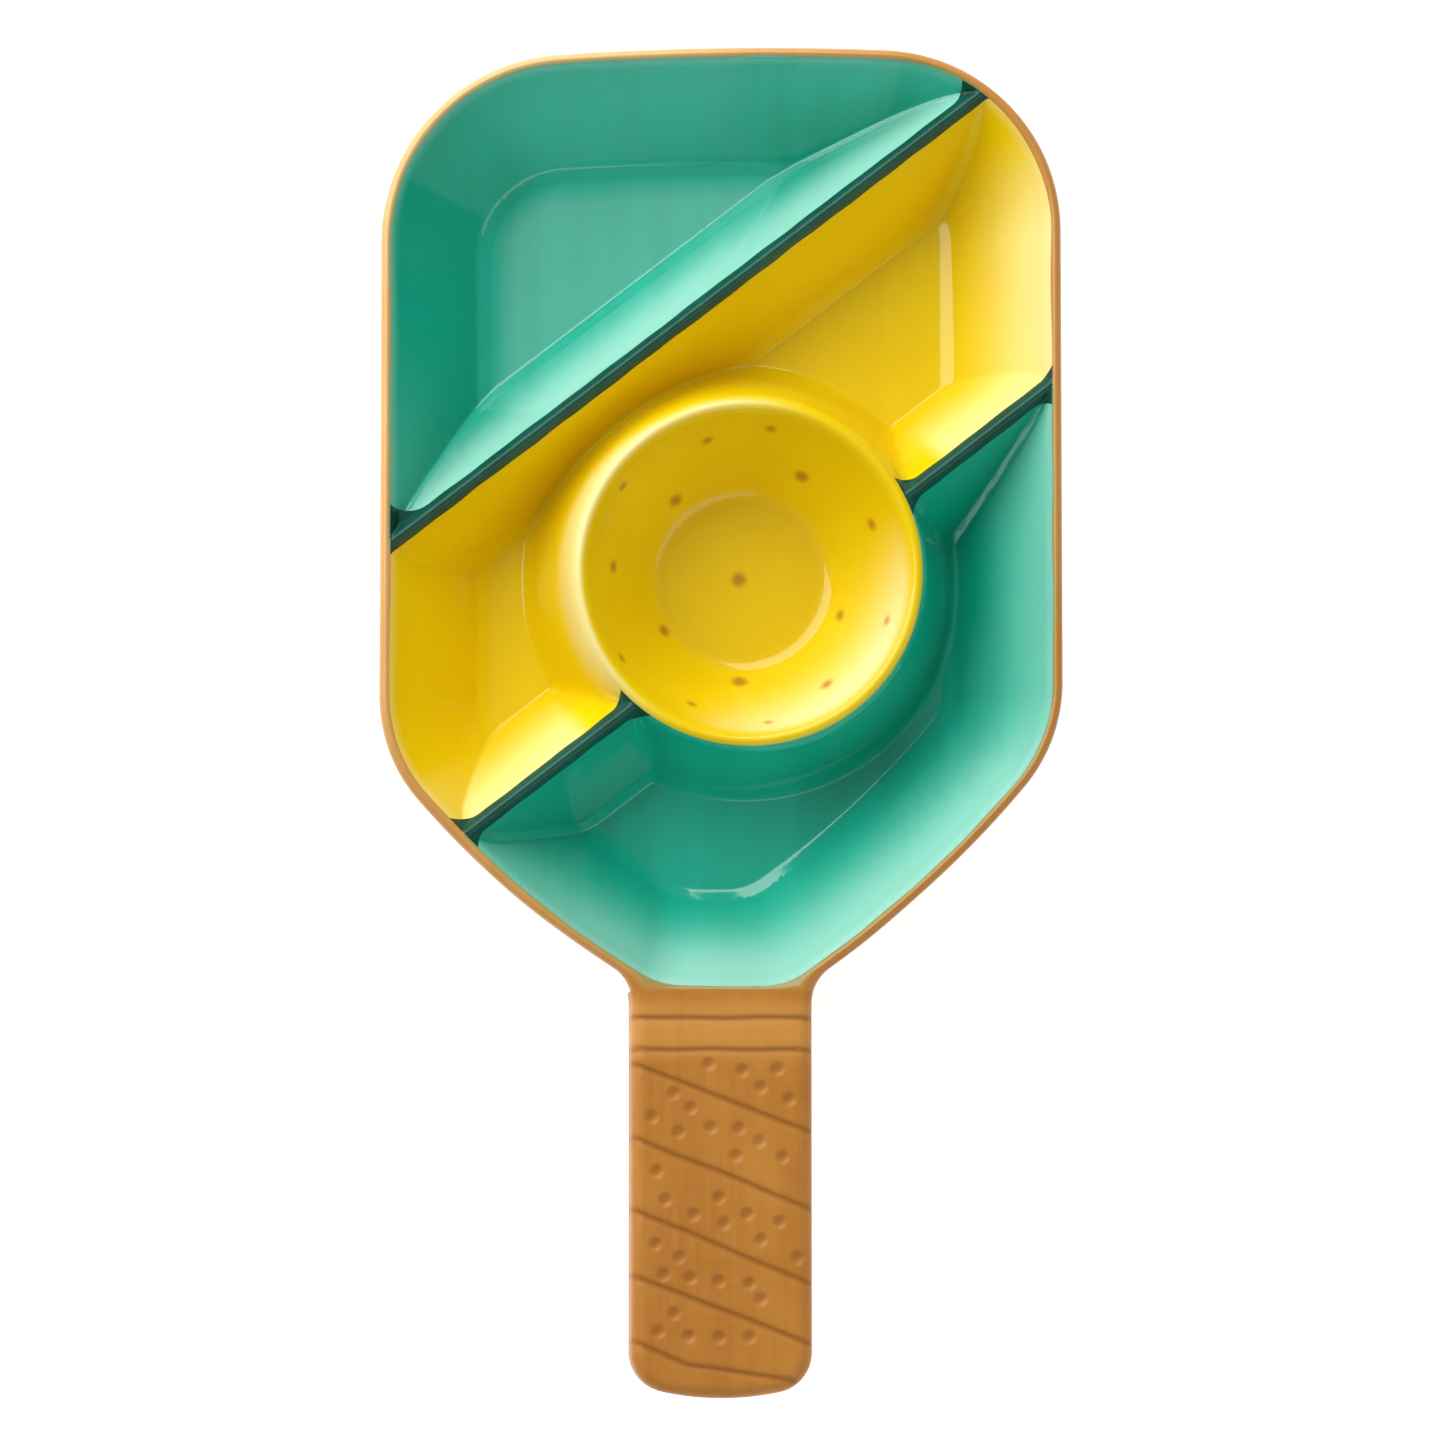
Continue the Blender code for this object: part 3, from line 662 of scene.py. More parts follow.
def make_object(name, points, faces, normals=None):
    """Mesh object from points in millimetres. normals are per corner of each face."""
    mesh = bpy.data.meshes.new(name)
    mesh.from_pydata((points * MM).tolist(), [], faces)
    mesh.shade_smooth()
    if normals is not None:
        mesh.normals_split_custom_set(normals)
    thing = bpy.data.objects.new(name, mesh)
    bpy.context.scene.collection.objects.link(thing)
    return thing


def slab(name, plan, triangles, top, bottom):
    """Closed solid between two height fields over some triangles of the plan."""
    used, inverse = np.unique(triangles, return_inverse=True)
    triangles = inverse.reshape(-1, 3)
    x, y = plan[used, 0], plan[used, 1]
    area = np.cross(np.stack((x[triangles[:, 1]] - x[triangles[:, 0]],
                              y[triangles[:, 1]] - y[triangles[:, 0]]), 1),
                    np.stack((x[triangles[:, 2]] - x[triangles[:, 0]],
                              y[triangles[:, 2]] - y[triangles[:, 0]]), 1))
    triangles = np.where((area > 0)[:, None], triangles, triangles[:, ::-1])
    count = len(used)
    upper, lower = top(x, y), bottom(x, y)
    points = np.concatenate([np.stack((x, y, upper), 1), np.stack((x, y, lower), 1)])
    edges = np.concatenate([triangles[:, [0, 1]], triangles[:, [1, 2]], triangles[:, [2, 0]]])
    _, first, seen = np.unique(np.sort(edges, axis=1), axis=0, return_index=True, return_counts=True)
    border = edges[first[seen == 1]]
    sides = np.stack((border[:, 0], border[:, 0] + count, border[:, 1] + count, border[:, 1]), 1)
    faces = triangles.tolist() + (triangles[:, ::-1] + count).tolist() + sides.tolist()
    up = field_normals(top, x, y)
    down = -field_normals(bottom, x, y)
    run = np.stack((x[border[:, 1]] - x[border[:, 0]], y[border[:, 1]] - y[border[:, 0]]), 1)
    outward = np.stack((run[:, 1], -run[:, 0]), 1) / np.linalg.norm(run, axis=1)[:, None]
    corner = np.zeros((count, 2))
    np.add.at(corner, border[:, 0], outward)
    np.add.at(corner, border[:, 1], outward)
    length = np.linalg.norm(corner, axis=1)
    corner = corner / np.maximum(length, 1e-6)[:, None]
    side_normals = np.zeros((len(border), 4, 3))
    for place, end in enumerate((0, 0, 1, 1)):
        soft = corner[border[:, end]]
        agree = (soft * outward).sum(1) > 0.7
        side_normals[:, place, :2] = np.where(agree[:, None], soft, outward)
    normals = np.concatenate([up[triangles].reshape(-1, 3), down[triangles[:, ::-1]].reshape(-1, 3),
                              side_normals.reshape(-1, 3)])
    return make_object(name, points, faces, normals.tolist())


def thickened(field, thickness):
    """Height field below another one by a thickness measured square to it."""
    def below(x, y):
        along_x, along_y = slopes(field, x, y, 0.5)
        return field(x, y) - thickness * np.sqrt(1 + np.minimum(along_x ** 2 + along_y ** 2, 6))
    return below


def level_field(z):
    return lambda x, y: np.full(np.shape(x), float(z))


PLAN, TRIANGLES = plan_of_top()
CENTRES = PLAN[TRIANGLES].mean(axis=1)
CX, CY = CENTRES[:, 0], CENTRES[:, 1]
IN_PADDLE = paddle_inset(CX, CY) > 0
IN_MOUTH = mouth_inset(CX, CY) > 0
IN_BOWL = bowl_gap(CX, CY) < 0
IN_CREST = {name: (crest_inset(name, CX, CY) > 0) & IN_MOUTH & ~IN_BOWL for name in CRESTS}
ANY_CREST = np.any(list(IN_CREST.values()), axis=0)
DISH = IN_PADDLE & IN_MOUTH & ~IN_BOWL & ~ANY_CREST & (CY > NECK_Y)
ABOVE_LONG = across_divider(CX, CY, LONG_OFFSET) < 0
BELOW_SHORT = across_divider(CX, CY, SHORT_OFFSET) > 0

pieces = {}
grip_mask = IN_PADDLE & (CY < NECK_Y)
band_mask = IN_PADDLE & (CY > NECK_Y) & ~IN_MOUTH


def grip_top(x, y):
    blend = smooth_step(NECK_Y - 4, NECK_Y - 0.5, y)
    return (grip_height(x, y) * (1 - blend)
            + smooth_min(dish_height(x, y), cap_height(x, y), CAP_SOFTNESS) * blend)


pieces["handle_grip"] = slab("handle_grip_visual", PLAN, TRIANGLES[grip_mask], grip_top,
                             level_field(GRIP_BOTTOM))
pieces["rim_band"] = slab("rim_band_visual", PLAN, TRIANGLES[band_mask], top_height, level_field(BAND_BOTTOM))
for node, mask in (("upper_compartment", DISH & ABOVE_LONG),
                   ("middle_compartment", DISH & ~ABOVE_LONG & ~BELOW_SHORT),
                   ("lower_compartment", DISH & ~ABOVE_LONG & BELOW_SHORT)):
    pieces[node] = slab(node + "_visual", PLAN, TRIANGLES[mask], top_height, thickened(top_height, DISH_SKIN))
for node in CRESTS:
    def crest_top(x, y, node=node):
        return top_height(x, y) + crest_lift(node, x, y)
    pieces[node] = slab(node + "_visual", PLAN, TRIANGLES[IN_CREST[node]], crest_top, level_field(BAND_BOTTOM))


def revolve(profile, turns):
    """Closed solid of revolution round the bowl's axis. The profile starts and ends on it."""
    points = [(BOWL_X, BOWL_Y, profile[0][1])]
    angles = np.linspace(0, 2 * math.pi, turns, endpoint=False)
    for radius, height in profile[1:-1]:
        ring = np.stack((BOWL_X + radius * np.cos(angles), BOWL_Y + radius * np.sin(angles),
                         np.full(turns, height)), 1)
        points += ring.tolist()
    points.append((BOWL_X, BOWL_Y, profile[-1][1]))
    faces = []
    rings = len(profile) - 2
    for turn in range(turns):
        after = (turn + 1) % turns
        faces.append((0, 1 + turn, 1 + after))
        for ring in range(rings - 1):
            a, b = 1 + ring * turns, 1 + (ring + 1) * turns
            faces.append((a + turn, b + turn, b + after, a + after))
        last = 1 + (rings - 1) * turns
        faces.append((last + turn, len(points) - 1, last + after))
    return np.array(points), faces


BOWL_SKIN = 2.4                 # wall thickness, square across it for a wall of 45 degrees
BOWL_FLOOR_SKIN = 3.4
BOWL_LIP_UNDER = ((BOWL_PAINT_RADIUS, 42.0), (49.5, 41.0))


def make_bowl():
    radii = np.concatenate([np.linspace(0, 22, 10), np.linspace(22.5, 30, 22), np.linspace(30.8, 45, 22),
                            np.linspace(45.5, BOWL_PAINT_RADIUS, 18)])
    inside = [(r, float(bowl_height(np.array(r)))) for r in radii]
    under = list(BOWL_LIP_UNDER)
    under += [(r + BOWL_SKIN, float(bowl_height(np.array(r))) - BOWL_SKIN) for r in np.linspace(44, 26, 10)]
    under += [(25.0, BOWL_FLOOR_Z - BOWL_FLOOR_SKIN), (0, BOWL_FLOOR_Z - BOWL_FLOOR_SKIN)]
    points, faces = revolve(inside + under, BOWL_TURNS)
    thing = make_object("dip_bowl_visual", points, faces)
    thing.data.set_sharp_from_angle(angle=math.radians(40))
    return thing


pieces["dip_bowl"] = make_bowl()


# Shell and foot, from below

KNEE_Z = 36.0                   # where the outer wall starts to slant inwards
KNEE_INSET = 1.5
KNEE_ROUNDING = 3.0
UNDER_SLOPE = 1.22
UNDER_SOFTNESS = 4
SHELL_FLOOR_Z = FOOT_TOP + 0.3
SHELL_SKIN = 1.8                # least thickness
SHELL_LIP = 1.0                 # width of the wall's top, under the brown band
SHELL_ROOM = 0.6                # between the dishes and the shell
SHELL_TOP_DROP = 3.0
BOWL_WELL_RADIUS = 64
BOWL_WELL_FLOOR = FOOT_TOP + 2.6
SHELL_RINGS = (0.0, 0.1, 0.35, 0.8, 0.99, 1.6, 2.6, 4.0, 6.5)
UNDER_GRID = 1.5
# Grid of the contours from below: first and last x, first and last y
UNDER_AREA = (-103.3, 103.4, -83.3, 203.6)
FOOT_WIDTH = 5.0
FOOT_ROUNDING = 1.0
FOOT_RINGS = (0.15, 0.6, 1.2, 2.5, 3.8, 4.4, 4.85)


def shell_under(x, y):
    """Outside of the shell: a rounded knee below the rim, then a slant to the foot."""
    inset = tray_inset(x, y)
    slant = KNEE_Z - UNDER_SLOPE * (inset - KNEE_INSET) + rounding(inset, KNEE_ROUNDING)
    return smooth_max(slant, SHELL_FLOOR_Z, UNDER_SOFTNESS)


def open_dishes(x, y):
    """The upper surface as it would be without the bowl."""
    return smooth_min(dish_height(x, y, False), cap_height(x, y), CAP_SOFTNESS)


def shell_top(x, y):
    """Under the dishes, the bowl and the band, with a little room to spare."""
    room = np.minimum(thickened(open_dishes, DISH_SKIN + SHELL_ROOM)(x, y), open_dishes(x, y))
    room = np.where(bowl_radius(x, y) < BOWL_WELL_RADIUS, np.minimum(room, BOWL_WELL_FLOOR), room)
    room = np.minimum(room, BAND_BOTTOM - SHELL_TOP_DROP)
    outer_edge = tray_inset(x, y) < SHELL_LIP
    return np.where(outer_edge, BAND_BOTTOM, np.maximum(room, shell_under(x, y) + SHELL_SKIN))


def tray_ring(inset):
    """Points and edges of the tray's outline, moved inwards."""
    return contour(lambda x, y: tray_inset(x, y) - inset, *UNDER_AREA, UNDER_GRID)


def make_shell():
    lines = [tray_ring(SHELL_RINGS[0] + 1e-4)]
    lines += [(tray_ring(inset + 1e-4)[0], NO_EDGES) for inset in SHELL_RINGS[1:]]
    grid = hex_grid(-HIGH.x, HIGH.x, NECK_Y, HIGH.y, SHELL_GRID)
    grid = grid[tray_inset(grid[:, 0], grid[:, 1]) > SHELL_RINGS[-1] + 1]
    plan, triangles = triangulate(*pile(lines + [(grid, NO_EDGES)]))
    centre = plan[triangles].mean(axis=1)
    triangles = triangles[tray_inset(centre[:, 0], centre[:, 1]) > 0]
    return slab("paddle_shell_visual", plan, triangles, shell_top, shell_under)


pieces["paddle_shell"] = make_shell()


def make_foot():
    """Ring with rounded lower edges, between two insets of the tray's outline."""
    inset = HIGH.x - FOOT_BOX[1].x
    lines = [tray_ring(inset), tray_ring(inset + FOOT_WIDTH)]
    lines += [(tray_ring(inset + step)[0], NO_EDGES) for step in FOOT_RINGS]
    plan, triangles = triangulate(*pile(lines))
    centre = plan[triangles].mean(axis=1)
    depth = tray_inset(centre[:, 0], centre[:, 1]) - inset
    triangles = triangles[(depth > 0) & (depth < FOOT_WIDTH)]

    def foot_under(x, y):
        depth = tray_inset(x, y) - inset
        return rounding(np.minimum(depth, FOOT_WIDTH - depth), FOOT_ROUNDING)
    return slab("foot_ring_visual", plan, triangles, level_field(FOOT_TOP), foot_under)


pieces["foot_ring"] = make_foot()


# Materials

class Glaze:
    """Node material with its shader and a few helpers."""

    def __init__(self, name, roughness, specular=0.5, coat=0.0, coat_roughness=0.07, coat_ior=1.5):
        self.material = bpy.data.materials.new(name)
        self.material.use_nodes = True
        self.tree = self.material.node_tree
        self.shader = self.tree.nodes["Principled BSDF"]
        self.shader.inputs["Roughness"].default_value = roughness
        self.shader.inputs["Specular IOR Level"].default_value = specular
        self.shader.inputs["Coat Weight"].default_value = coat
        self.shader.inputs["Coat Roughness"].default_value = coat_roughness
        self.shader.inputs["Coat IOR"].default_value = coat_ior
        self.where = self.tree.nodes.new("ShaderNodeTexCoord").outputs["Object"]

    def node(self, kind, inputs=(), **settings):
        node = self.tree.nodes.new(kind)
        for key, value in settings.items():
            setattr(node, key, value)
        for key, value in dict(inputs).items():
            if isinstance(value, bpy.types.NodeSocket):
                self.tree.links.new(value, node.inputs[key])
            else:
                node.inputs[key].default_value = value
        return node

    def link(self, value, socket):
        self.tree.links.new(value, self.shader.inputs[socket])

    def noise(self, scale, stretch=(1, 1, 1), detail=4.0, roughness=0.55, shift=(0, 0, 0)):
        """Noise with scale in cycles per metre, stretched along an axis."""
        mapping = self.node("ShaderNodeMapping", {"Vector": self.where, "Scale": stretch, "Location": shift})
        noise = self.node("ShaderNodeTexNoise", {"Vector": mapping.outputs[0], "Scale": scale, "Detail": detail,
                                                 "Roughness": roughness})
        return noise.outputs["Fac"]

    def ramp(self, value, low, high, to_low=0.0, to_high=1.0, smooth=True):
        kind = "SMOOTHSTEP" if smooth else "LINEAR"
        node = self.node("ShaderNodeMapRange", {"Value": value, "From Min": low, "From Max": high,
                                                "To Min": to_low, "To Max": to_high}, interpolation_type=kind)
        return node.outputs["Result"]

    def mix(self, factor, first, second, blend="MIX"):
        node = self.node("ShaderNodeMix", data_type="RGBA", blend_type=blend)
        for socket, value in ((node.inputs[0], factor), (node.inputs[6], first), (node.inputs[7], second)):
            if isinstance(value, bpy.types.NodeSocket):
                self.tree.links.new(value, socket)
            else:
                socket.default_value = value
        return node.outputs[2]

    def attribute(self, name):
        return self.node("ShaderNodeAttribute", attribute_name=name).outputs["Fac"]

    def bump(self, height, strength, distance):
        node = self.node("ShaderNodeBump", {"Height": height, "Strength": strength, "Distance": distance})
        self.link(node.outputs["Normal"], "Normal")
        return node


def linear(red, green, blue):
    """Screen colour, 0 to 255 a channel, as a shader colour."""
    values = []
    for value in (red, green, blue):
        value /= 255
        values.append(value / 12.92 if value <= 0.04045 else ((value + 0.055) / 1.055) ** 2.4)
    return (*values, 1.0)


def brushed_glaze(name, body, streak_and_shade, pale, pale_sheen_and_seam, streaks=0.7, roughness=0.5, coat=1.0, coat_roughness=0.07):
    """Gloss glaze with broad brush strokes along the server, under a clear coat, with painted shade and a
    painted pale sheen mixed in from point attributes.
    """
    glaze = Glaze(name, roughness, 0.1, coat, coat_roughness, 1.6)
    strokes = glaze.noise(110, (1.0, 0.07, 0.12), 4.0)
    cloud = glaze.noise(14, (1, 1, 0.3), 2.0, shift=(0.4, 0.2, 0))
    colour = glaze.mix(glaze.ramp(strokes, 0.36, 0.66, 0.0, streaks), body, streak_and_shade)
    colour = glaze.mix(glaze.ramp(cloud, 0.42, 0.72, 0.0, 0.5), colour, pale)
    # painted shade from a point attribute, in the deep colour
    colour = glaze.mix(glaze.attribute("painted_shade_and_full_brown"), colour, streak_and_shade)
    # painted pale sheen from a point attribute; on the brown band the same mix is the green seam over it
    colour = glaze.mix(glaze.attribute("pale_sheen_and_seam"), colour, pale_sheen_and_seam)
    glaze.link(colour, "Base Color")
    glaze.bump(glaze.noise(60, (1, 0.4, 0.4), 2.0), 0.06, 0.0004)
    return glaze


# Colours of each glaze: body, streaks and painted shade, cloud, and painted sheen; for the brown band the last
# is the green seam over it
GREEN = brushed_glaze("green_gloss_glaze", linear(14, 180, 152), linear(2, 160, 130), linear(64, 192, 168),
                      linear(190, 236, 220), streaks=0.5)
# A second copy of the green for the lower dish, retuned against the shade there: painted light
LOW_GREEN = brushed_glaze("green_gloss_glaze_low", linear(10, 184, 154), linear(2, 164, 134),
                          linear(44, 194, 168),
                          linear(190, 236, 220), streaks=0.5)
YELLOW = brushed_glaze("yellow_gloss_glaze", linear(238, 208, 0), linear(238, 203, 0), linear(244, 218, 10),
                       linear(255, 246, 190), coat=0.55)
CREST_GREEN = brushed_glaze("dark_green_gloss_glaze", linear(6, 80, 64), linear(2, 64, 50), linear(18, 96, 80),
                            linear(18, 96, 80), coat=0.35, coat_roughness=0.22)
BAND_BROWN = brushed_glaze("brown_gloss_glaze", linear(234, 190, 124), linear(190, 127, 50),
                           linear(240, 204, 146),
                           linear(128, 156, 96), streaks=0.3, coat=0.5)


# Dots in the bowl: distance from its axis and turn from +X
DOT_RINGS = ((1.4, 132, 2.3), (28.2, -148, 2.0), (30.6, -92, 2.5), (31.3, -19, 1.7),
             (32.0, 130, 2.2), (36.1, 61, 2.3), (40.1, 176, 2.0), (40.7, -53, 2.1),
             (41.4, 23, 1.9), (42.2, -113, 1.6), (42.6, 106, 1.8), (44.4, -18, 1.5),
             (44.8, 81, 1.7), (45.2, -82, 1.4), (45.7, -146, 1.7), (45.8, 145, 1.6))


def dotted_glaze():
    """The bowl's yellow with soft brown dabs of a brush."""
    glaze = Glaze("yellow_bowl_glaze", 0.5, 0.1, 0.55, 0.07, 1.6)
    cloud = glaze.noise(30, (1, 1, 1), 3.0)
    colour = glaze.mix(glaze.ramp(cloud, 0.4, 0.7, 0.0, 0.5), linear(237, 203, 2), linear(245, 217, 16))
    # painted shade on the bowl's floor
    colour = glaze.mix(glaze.attribute("painted_shade_and_full_brown"), colour, linear(220, 186, 0))
    # painted sheen on lit inner walls and painted highlight on the lip
    colour = glaze.mix(glaze.attribute("pale_sheen_and_seam"), colour, linear(255, 248, 200))
    wobble = glaze.noise(420, (1, 1, 1), 2.0)
    total = None
    for radius, turn, size in DOT_RINGS:
        angle = math.radians(turn)
        height = float(bowl_height(np.array(float(radius))))
        centre = Vector((BOWL_X + radius * math.cos(angle), BOWL_Y + radius * math.sin(angle), height)) * MM
        far = glaze.node("ShaderNodeVectorMath", {0: glaze.where, 1: centre},
                         operation="DISTANCE").outputs["Value"]
        uneven = glaze.node("ShaderNodeMath", {0: wobble, 1: 0.0012, 2: far},
                            operation="MULTIPLY_ADD").outputs[0]
        dot = glaze.ramp(uneven, (size + 1.7) * MM, (size - 1.0) * MM)
        if total is None:
            total = dot
        else:
            total = glaze.node("ShaderNodeMath", {0: total, 1: dot}, operation="MAXIMUM").outputs[0]
    faded_dot = glaze.node("ShaderNodeMath", {0: total, 1: 0.8}, operation="MULTIPLY").outputs[0]
    glaze.link(glaze.mix(faded_dot, colour, linear(178, 112, 30)), "Base Color")
    glaze.bump(glaze.noise(70, (1, 1, 1), 2.0), 0.08, 0.0003)
    return glaze


def grip_glaze():
    """Satin brown, brushed on in streaks, and darker in the carving: partly glaze gathered there, partly
    painted shade.
    """
    glaze = Glaze("brown_satin_glaze", 0.45, 0.25)
    strokes = glaze.noise(330, (1.0, 0.06, 1.0), 6.0, 0.6)
    turns = glaze.noise(260, (0.08, 1.0, 1.0), 4.0, 0.6)
    cloud = glaze.noise(30, (1, 0.6, 1), 3.0)
    colour = glaze.mix(glaze.ramp(strokes, 0.34, 0.68, 0.0, 0.6), linear(191, 127, 52), linear(176, 110, 40))
    colour = glaze.mix(glaze.ramp(turns, 0.45, 0.7, 0.0, 0.6), colour, linear(180, 115, 42))
    colour = glaze.mix(glaze.ramp(cloud, 0.42, 0.72, 0.0, 0.5), colour, linear(204, 142, 60))
    colour = glaze.mix(glaze.attribute("pale_sheen_and_seam"), colour, linear(220, 156, 76))
    # darker grooves and dimples: partly glaze gathered in them, partly painted shade
    colour = glaze.mix(glaze.ramp(glaze.attribute("carved"), 0.05, 0.9, 0.0, 0.65), colour, linear(146, 90, 26))
    glaze.link(colour, "Base Color")
    glaze.bump(strokes, 0.15, 0.0002)
    return glaze


def clay():
    """Unglazed body with fine specks."""
    body = Glaze("bare_clay_body", 0.8)
    specks = body.noise(1500, (1, 1, 1), 2.0)
    colour = body.mix(body.ramp(body.noise(60), 0.35, 0.7), linear(214, 200, 180), linear(198, 182, 160))
    body.link(body.mix(body.ramp(specks, 0.62, 0.72, 0.0, 0.7), colour, linear(120, 96, 74)), "Base Color")
    body.bump(specks, 0.3, 0.0002)
    return body


BOWL_GLAZE = dotted_glaze()
GRIP_GLAZE = grip_glaze()
CLAY = clay()

LOOKS = {
    "paddle_shell": (BAND_BROWN, "brown_glaze"),
    "rim_band": (BAND_BROWN, "brown_glaze"),
    "handle_grip": (GRIP_GLAZE, "brown_glaze"),
    "upper_compartment": (GREEN, "green_glaze"),
    "middle_compartment": (YELLOW, "yellow_glaze"),
    "lower_compartment": (LOW_GREEN, "green_glaze"),
    "dip_bowl": (BOWL_GLAZE, "yellow_glaze"),
    "long_divider_crest": (CREST_GREEN, "dark_green_glaze"),
    "left_divider_crest": (CREST_GREEN, "dark_green_glaze"),
    "right_divider_crest": (CREST_GREEN, "dark_green_glaze"),
    "foot_ring": (CLAY, "bare_clay"),
}


def add_attribute(thing, name, values):
    attribute = thing.data.attributes.new(name, "FLOAT", "POINT")
    attribute.data.foreach_set("value", np.asarray(values, np.float32))


def vertex_plan(thing):
    places = np.zeros(len(thing.data.vertices) * 3, np.float32)
    thing.data.vertices.foreach_get("co", places)
    places = places.reshape(-1, 3).astype(float) / MM
    return places[:, 0], places[:, 1]


# Painted light on the glazes: a painted pale sheen near the top of slopes that face left or up the server,
# towards the light, and in the middle of a floor; a pale line along the mouth; painted shade on slopes that
# face right, away from the light
SHEEN_FROM, SHEEN_TO = 0.3, 1.4   # slopes between which the painted sheen comes in
SHEEN_SLOPES = {"upper_compartment": 0.58, "middle_compartment": 0.56,
               "lower_compartment": 0.63, "dip_bowl": 0.70}
SHEEN_LEFT = {"upper_compartment": 0.9, "middle_compartment": 0.9, "lower_compartment": 0.6}
# painted sheen on the middle of a floor
FLOOR_SHEEN = {"upper_compartment": 0.19, "middle_compartment": 0.0, "lower_compartment": 0.0, "dip_bowl": 0.0}
# paler along the mouth: partly glaze running thin at the edge, partly painted highlight
EDGE_THINNING_AND_SHEEN = 0.24
LIP_SHEEN = 0.5                  # painted highlight on the bowl's lip, most towards this turn
LIP_SHEEN_TURN = math.radians(155)
SEAM_WIDTH = 1.3                # the green runs this far over the brown band
LEVEL_SLOPES = (0.35, 0.1)
LEVEL_DEPTHS = (33, 42)         # from the rim
EDGE_WIDTHS = (2.4, 0.2)
# painted shade: slopes facing right over which it comes in, and radii of the bowl's darker floor
SHADE_SLOPES = (0.3, 1.3)
BOWL_SHADE_RADII = (28, 24)
BESIDE_BOWL = (60, 78)          # radii over which the slopes get free of the bowl's wall
SHEEN_HEIGHTS = (12, 40)
LIP_RADII = (49.3, 51)
FULL_BROWN = (-62, -82)         # the band is as brown as the grip from here
PALE_GRIP = (-106, -96)         # the grip's brown is paler above these
PALE_GRIP_END = (-0.5, -6)      # but not at the neck


def add_painted_sheen_and_shade(node, height):
    thing = pieces[node]
    x, y = vertex_plan(thing)
    along_x, along_y = slopes(height, x, y, 0.8)
    left, up = np.maximum(along_x, 0), np.maximum(-along_y, 0)
    right, down = np.maximum(-along_x, 0), np.maximum(along_y, 0)
    level = (smooth_step(*LEVEL_SLOPES, np.hypot(along_x, along_y))
             * smooth_step(*LEVEL_DEPTHS, dish_inset(x, y)))
    edge = smooth_step(*EDGE_WIDTHS, mouth_inset(x, y))
    radius = bowl_radius(x, y)
    # painted shade on slopes that face right, away from the light
    painted_shade_and_full_brown = smooth_step(*SHADE_SLOPES, np.hypot(right, 0.2 * down))
    if node == "dip_bowl":
        facing = 0.42 * (left + up) - 0.5 * (right + down)
        # painted shade on the bowl's floor
        painted_shade_and_full_brown = 0.5 * smooth_step(*BOWL_SHADE_RADII, radius)
    else:
        facing = np.hypot(SHEEN_LEFT[node] * left, up) - 0.3 * right - 0.7 * down
        facing = facing * smooth_step(*BESIDE_BOWL, radius)
    rise = 0.05 + 0.95 * smooth_step(*SHEEN_HEIGHTS, height(x, y))
    # painted sheen near the top of slopes that face the light
    pale_sheen_and_seam = SHEEN_SLOPES[node] * smooth_step(SHEEN_FROM, SHEEN_TO, facing) * rise
    if node != "lower_compartment":
        # painted highlight on the bowl's lip
        turn = np.arctan2(y - BOWL_Y, x - BOWL_X) - LIP_SHEEN_TURN
        reach = 54 + 4 * smooth_step(0.3, 1, np.cos(turn - math.radians(30)))
        pale_sheen_and_seam += LIP_SHEEN * (smooth_step(*LIP_RADII, radius) * smooth_step(reach, reach - 4, radius)
                            * smooth_step(0, 0.7, np.cos(turn)))
    add_attribute(thing, "pale_sheen_and_seam", pale_sheen_and_seam + FLOOR_SHEEN[node] * level + EDGE_THINNING_AND_SHEEN * edge)
    add_attribute(thing, "painted_shade_and_full_brown", painted_shade_and_full_brown)


for node in SHEEN_SLOPES:
    add_painted_sheen_and_shade(node, top_height if node != "dip_bowl" else lambda x, y: bowl_height(bowl_radius(x, y)))
band_x, band_y = vertex_plan(pieces["rim_band"])
beside_green = ((across_divider(band_x, band_y, LONG_OFFSET) < 0)
                | (across_divider(band_x, band_y, SHORT_OFFSET) > 0))
overlap = smooth_step(SEAM_WIDTH, 0, -mouth_inset(band_x, band_y))
add_attribute(pieces["rim_band"], "pale_sheen_and_seam", 0.7 * overlap * beside_green)
# The band's brown is darker towards the right, painted shade away from the light, and darker towards the grip
# and on the outer wall
right_shade_and_grip_brown = 0.15 + 0.7 * smooth_step(-60, 80, band_x) + 0.5 * smooth_step(60, -30, band_y)
add_attribute(pieces["rim_band"], "painted_shade_and_full_brown", np.clip(np.maximum(right_shade_and_grip_brown, smooth_step(*FULL_BROWN, band_y)), 0, 1))
add_attribute(pieces["paddle_shell"], "painted_shade_and_full_brown", np.ones(len(pieces["paddle_shell"].data.vertices)))
grip_x, grip_y = vertex_plan(pieces["handle_grip"])
groove_share, dimple_share = carving(grip_x, grip_y)
on_top = np.arange(len(grip_x)) < len(grip_x) // 2
on_side = paddle_inset(grip_x, grip_y) < 0.5
# darker grooves and dimples: partly glaze gathered in them, partly painted shade
add_attribute(pieces["handle_grip"], "carved",
              np.maximum(groove_share * (on_top | on_side), 0.5 * dimple_share * on_top))
near_neck = smooth_step(*(NECK_Y + end for end in PALE_GRIP_END), grip_y)
# the grip's brown is paler towards the neck, but not right at it
add_attribute(pieces["handle_grip"], "pale_sheen_and_seam", 0.5 * smooth_step(*PALE_GRIP, grip_y) * near_neck)

for node, (glaze, slot) in LOOKS.items():
    piece = pieces[node]
    piece.data.materials.append(glaze.material)
    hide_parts(node)
    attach(piece, "root")


# Studio

FLOOR_GLOW = 0.80               # the table is a lit sheet, so shadows on it are faint


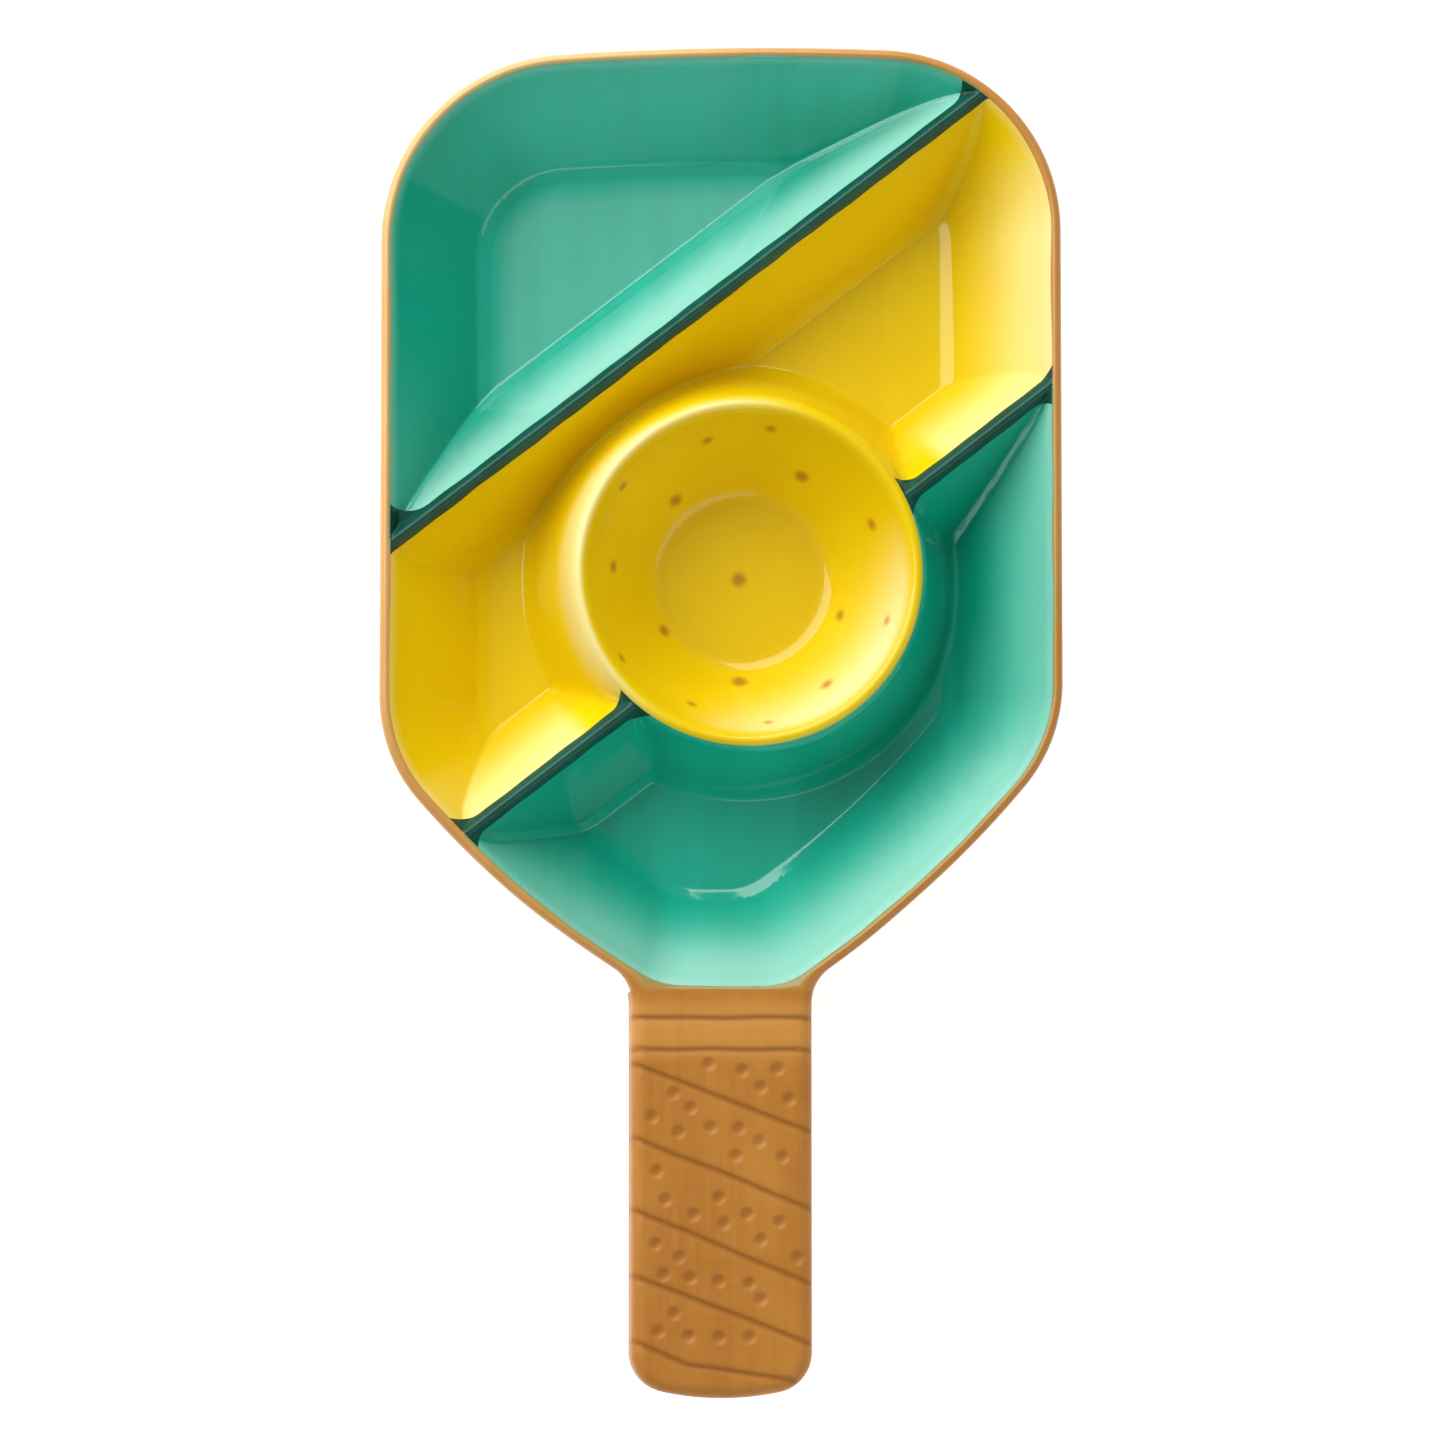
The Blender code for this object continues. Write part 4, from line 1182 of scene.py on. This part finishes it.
def make_floor():
    mesh = bpy.data.meshes.new("studio_floor")
    reach = 6.0
    mesh.from_pydata([(-reach, -reach, 0), (reach, -reach, 0), (reach, reach, 0), (-reach, reach, 0)], [],
                     [(0, 1, 2, 3)])
    floor = bpy.data.objects.new("studio_floor", mesh)
    bpy.context.scene.collection.objects.link(floor)
    paper = Glaze("studio_paper", 0.9)
    tone = paper.mix(paper.ramp(paper.noise(3), 0.3, 0.7), (0.60, 0.60, 0.60, 1), (0.63, 0.63, 0.63, 1))
    paper.link(tone, "Base Color")
    paper.shader.inputs["Emission Color"].default_value = (1, 1, 1, 1)
    paper.shader.inputs["Emission Strength"].default_value = FLOOR_GLOW
    mesh.materials.append(paper.material)


def add_light(name, place, aim, size, power, size_y=None):
    data = bpy.data.lights.new(name, "AREA")
    data.shape = "RECTANGLE"
    data.size = size
    data.size_y = size_y or size
    data.energy = power
    light = bpy.data.objects.new(name, data)
    light.location = place
    light.rotation_mode = "QUATERNION"
    light.rotation_quaternion = (Vector(place) - Vector(aim)).to_track_quat("Z", "Y")
    bpy.context.scene.collection.objects.link(light)


def make_studio():
    scene = bpy.context.scene
    middle = (0, 0.03, 0.03)
    add_light("key_softbox", (-0.70, 0.95, 0.95), middle, 2.3, 37, 1.4)
    add_light("low_softbox", (1.2, -1.3, 1.0), middle, 3.4, 17, 1.2)
    world = bpy.data.worlds.new("studio")
    scene.world = world
    world.use_nodes = True
    background = world.node_tree.nodes["Background"]
    background.inputs["Color"].default_value = (1, 1, 1, 1)
    background.inputs["Strength"].default_value = 0.21
    scene.view_settings.view_transform = "Standard"


CAMERA_DISTANCE = 2.0           # metres


def make_camera():
    data = bpy.data.cameras.new("camera")
    data.sensor_width = 36
    data.lens = 166.5
    camera = bpy.data.objects.new("camera", data)
    aim = Vector((0.0, -0.0017, RIM_TOP * MM))
    back = Vector((-0.058, -0.083, 1.0)).normalized()
    right = Vector((0, 1, 0)).cross(back).normalized()
    camera.location = aim + back * CAMERA_DISTANCE
    camera.rotation_euler = Matrix((right, back.cross(right), back)).transposed().to_euler()
    bpy.context.scene.collection.objects.link(camera)
    bpy.context.scene.camera = camera


make_floor()
make_studio()
make_camera()
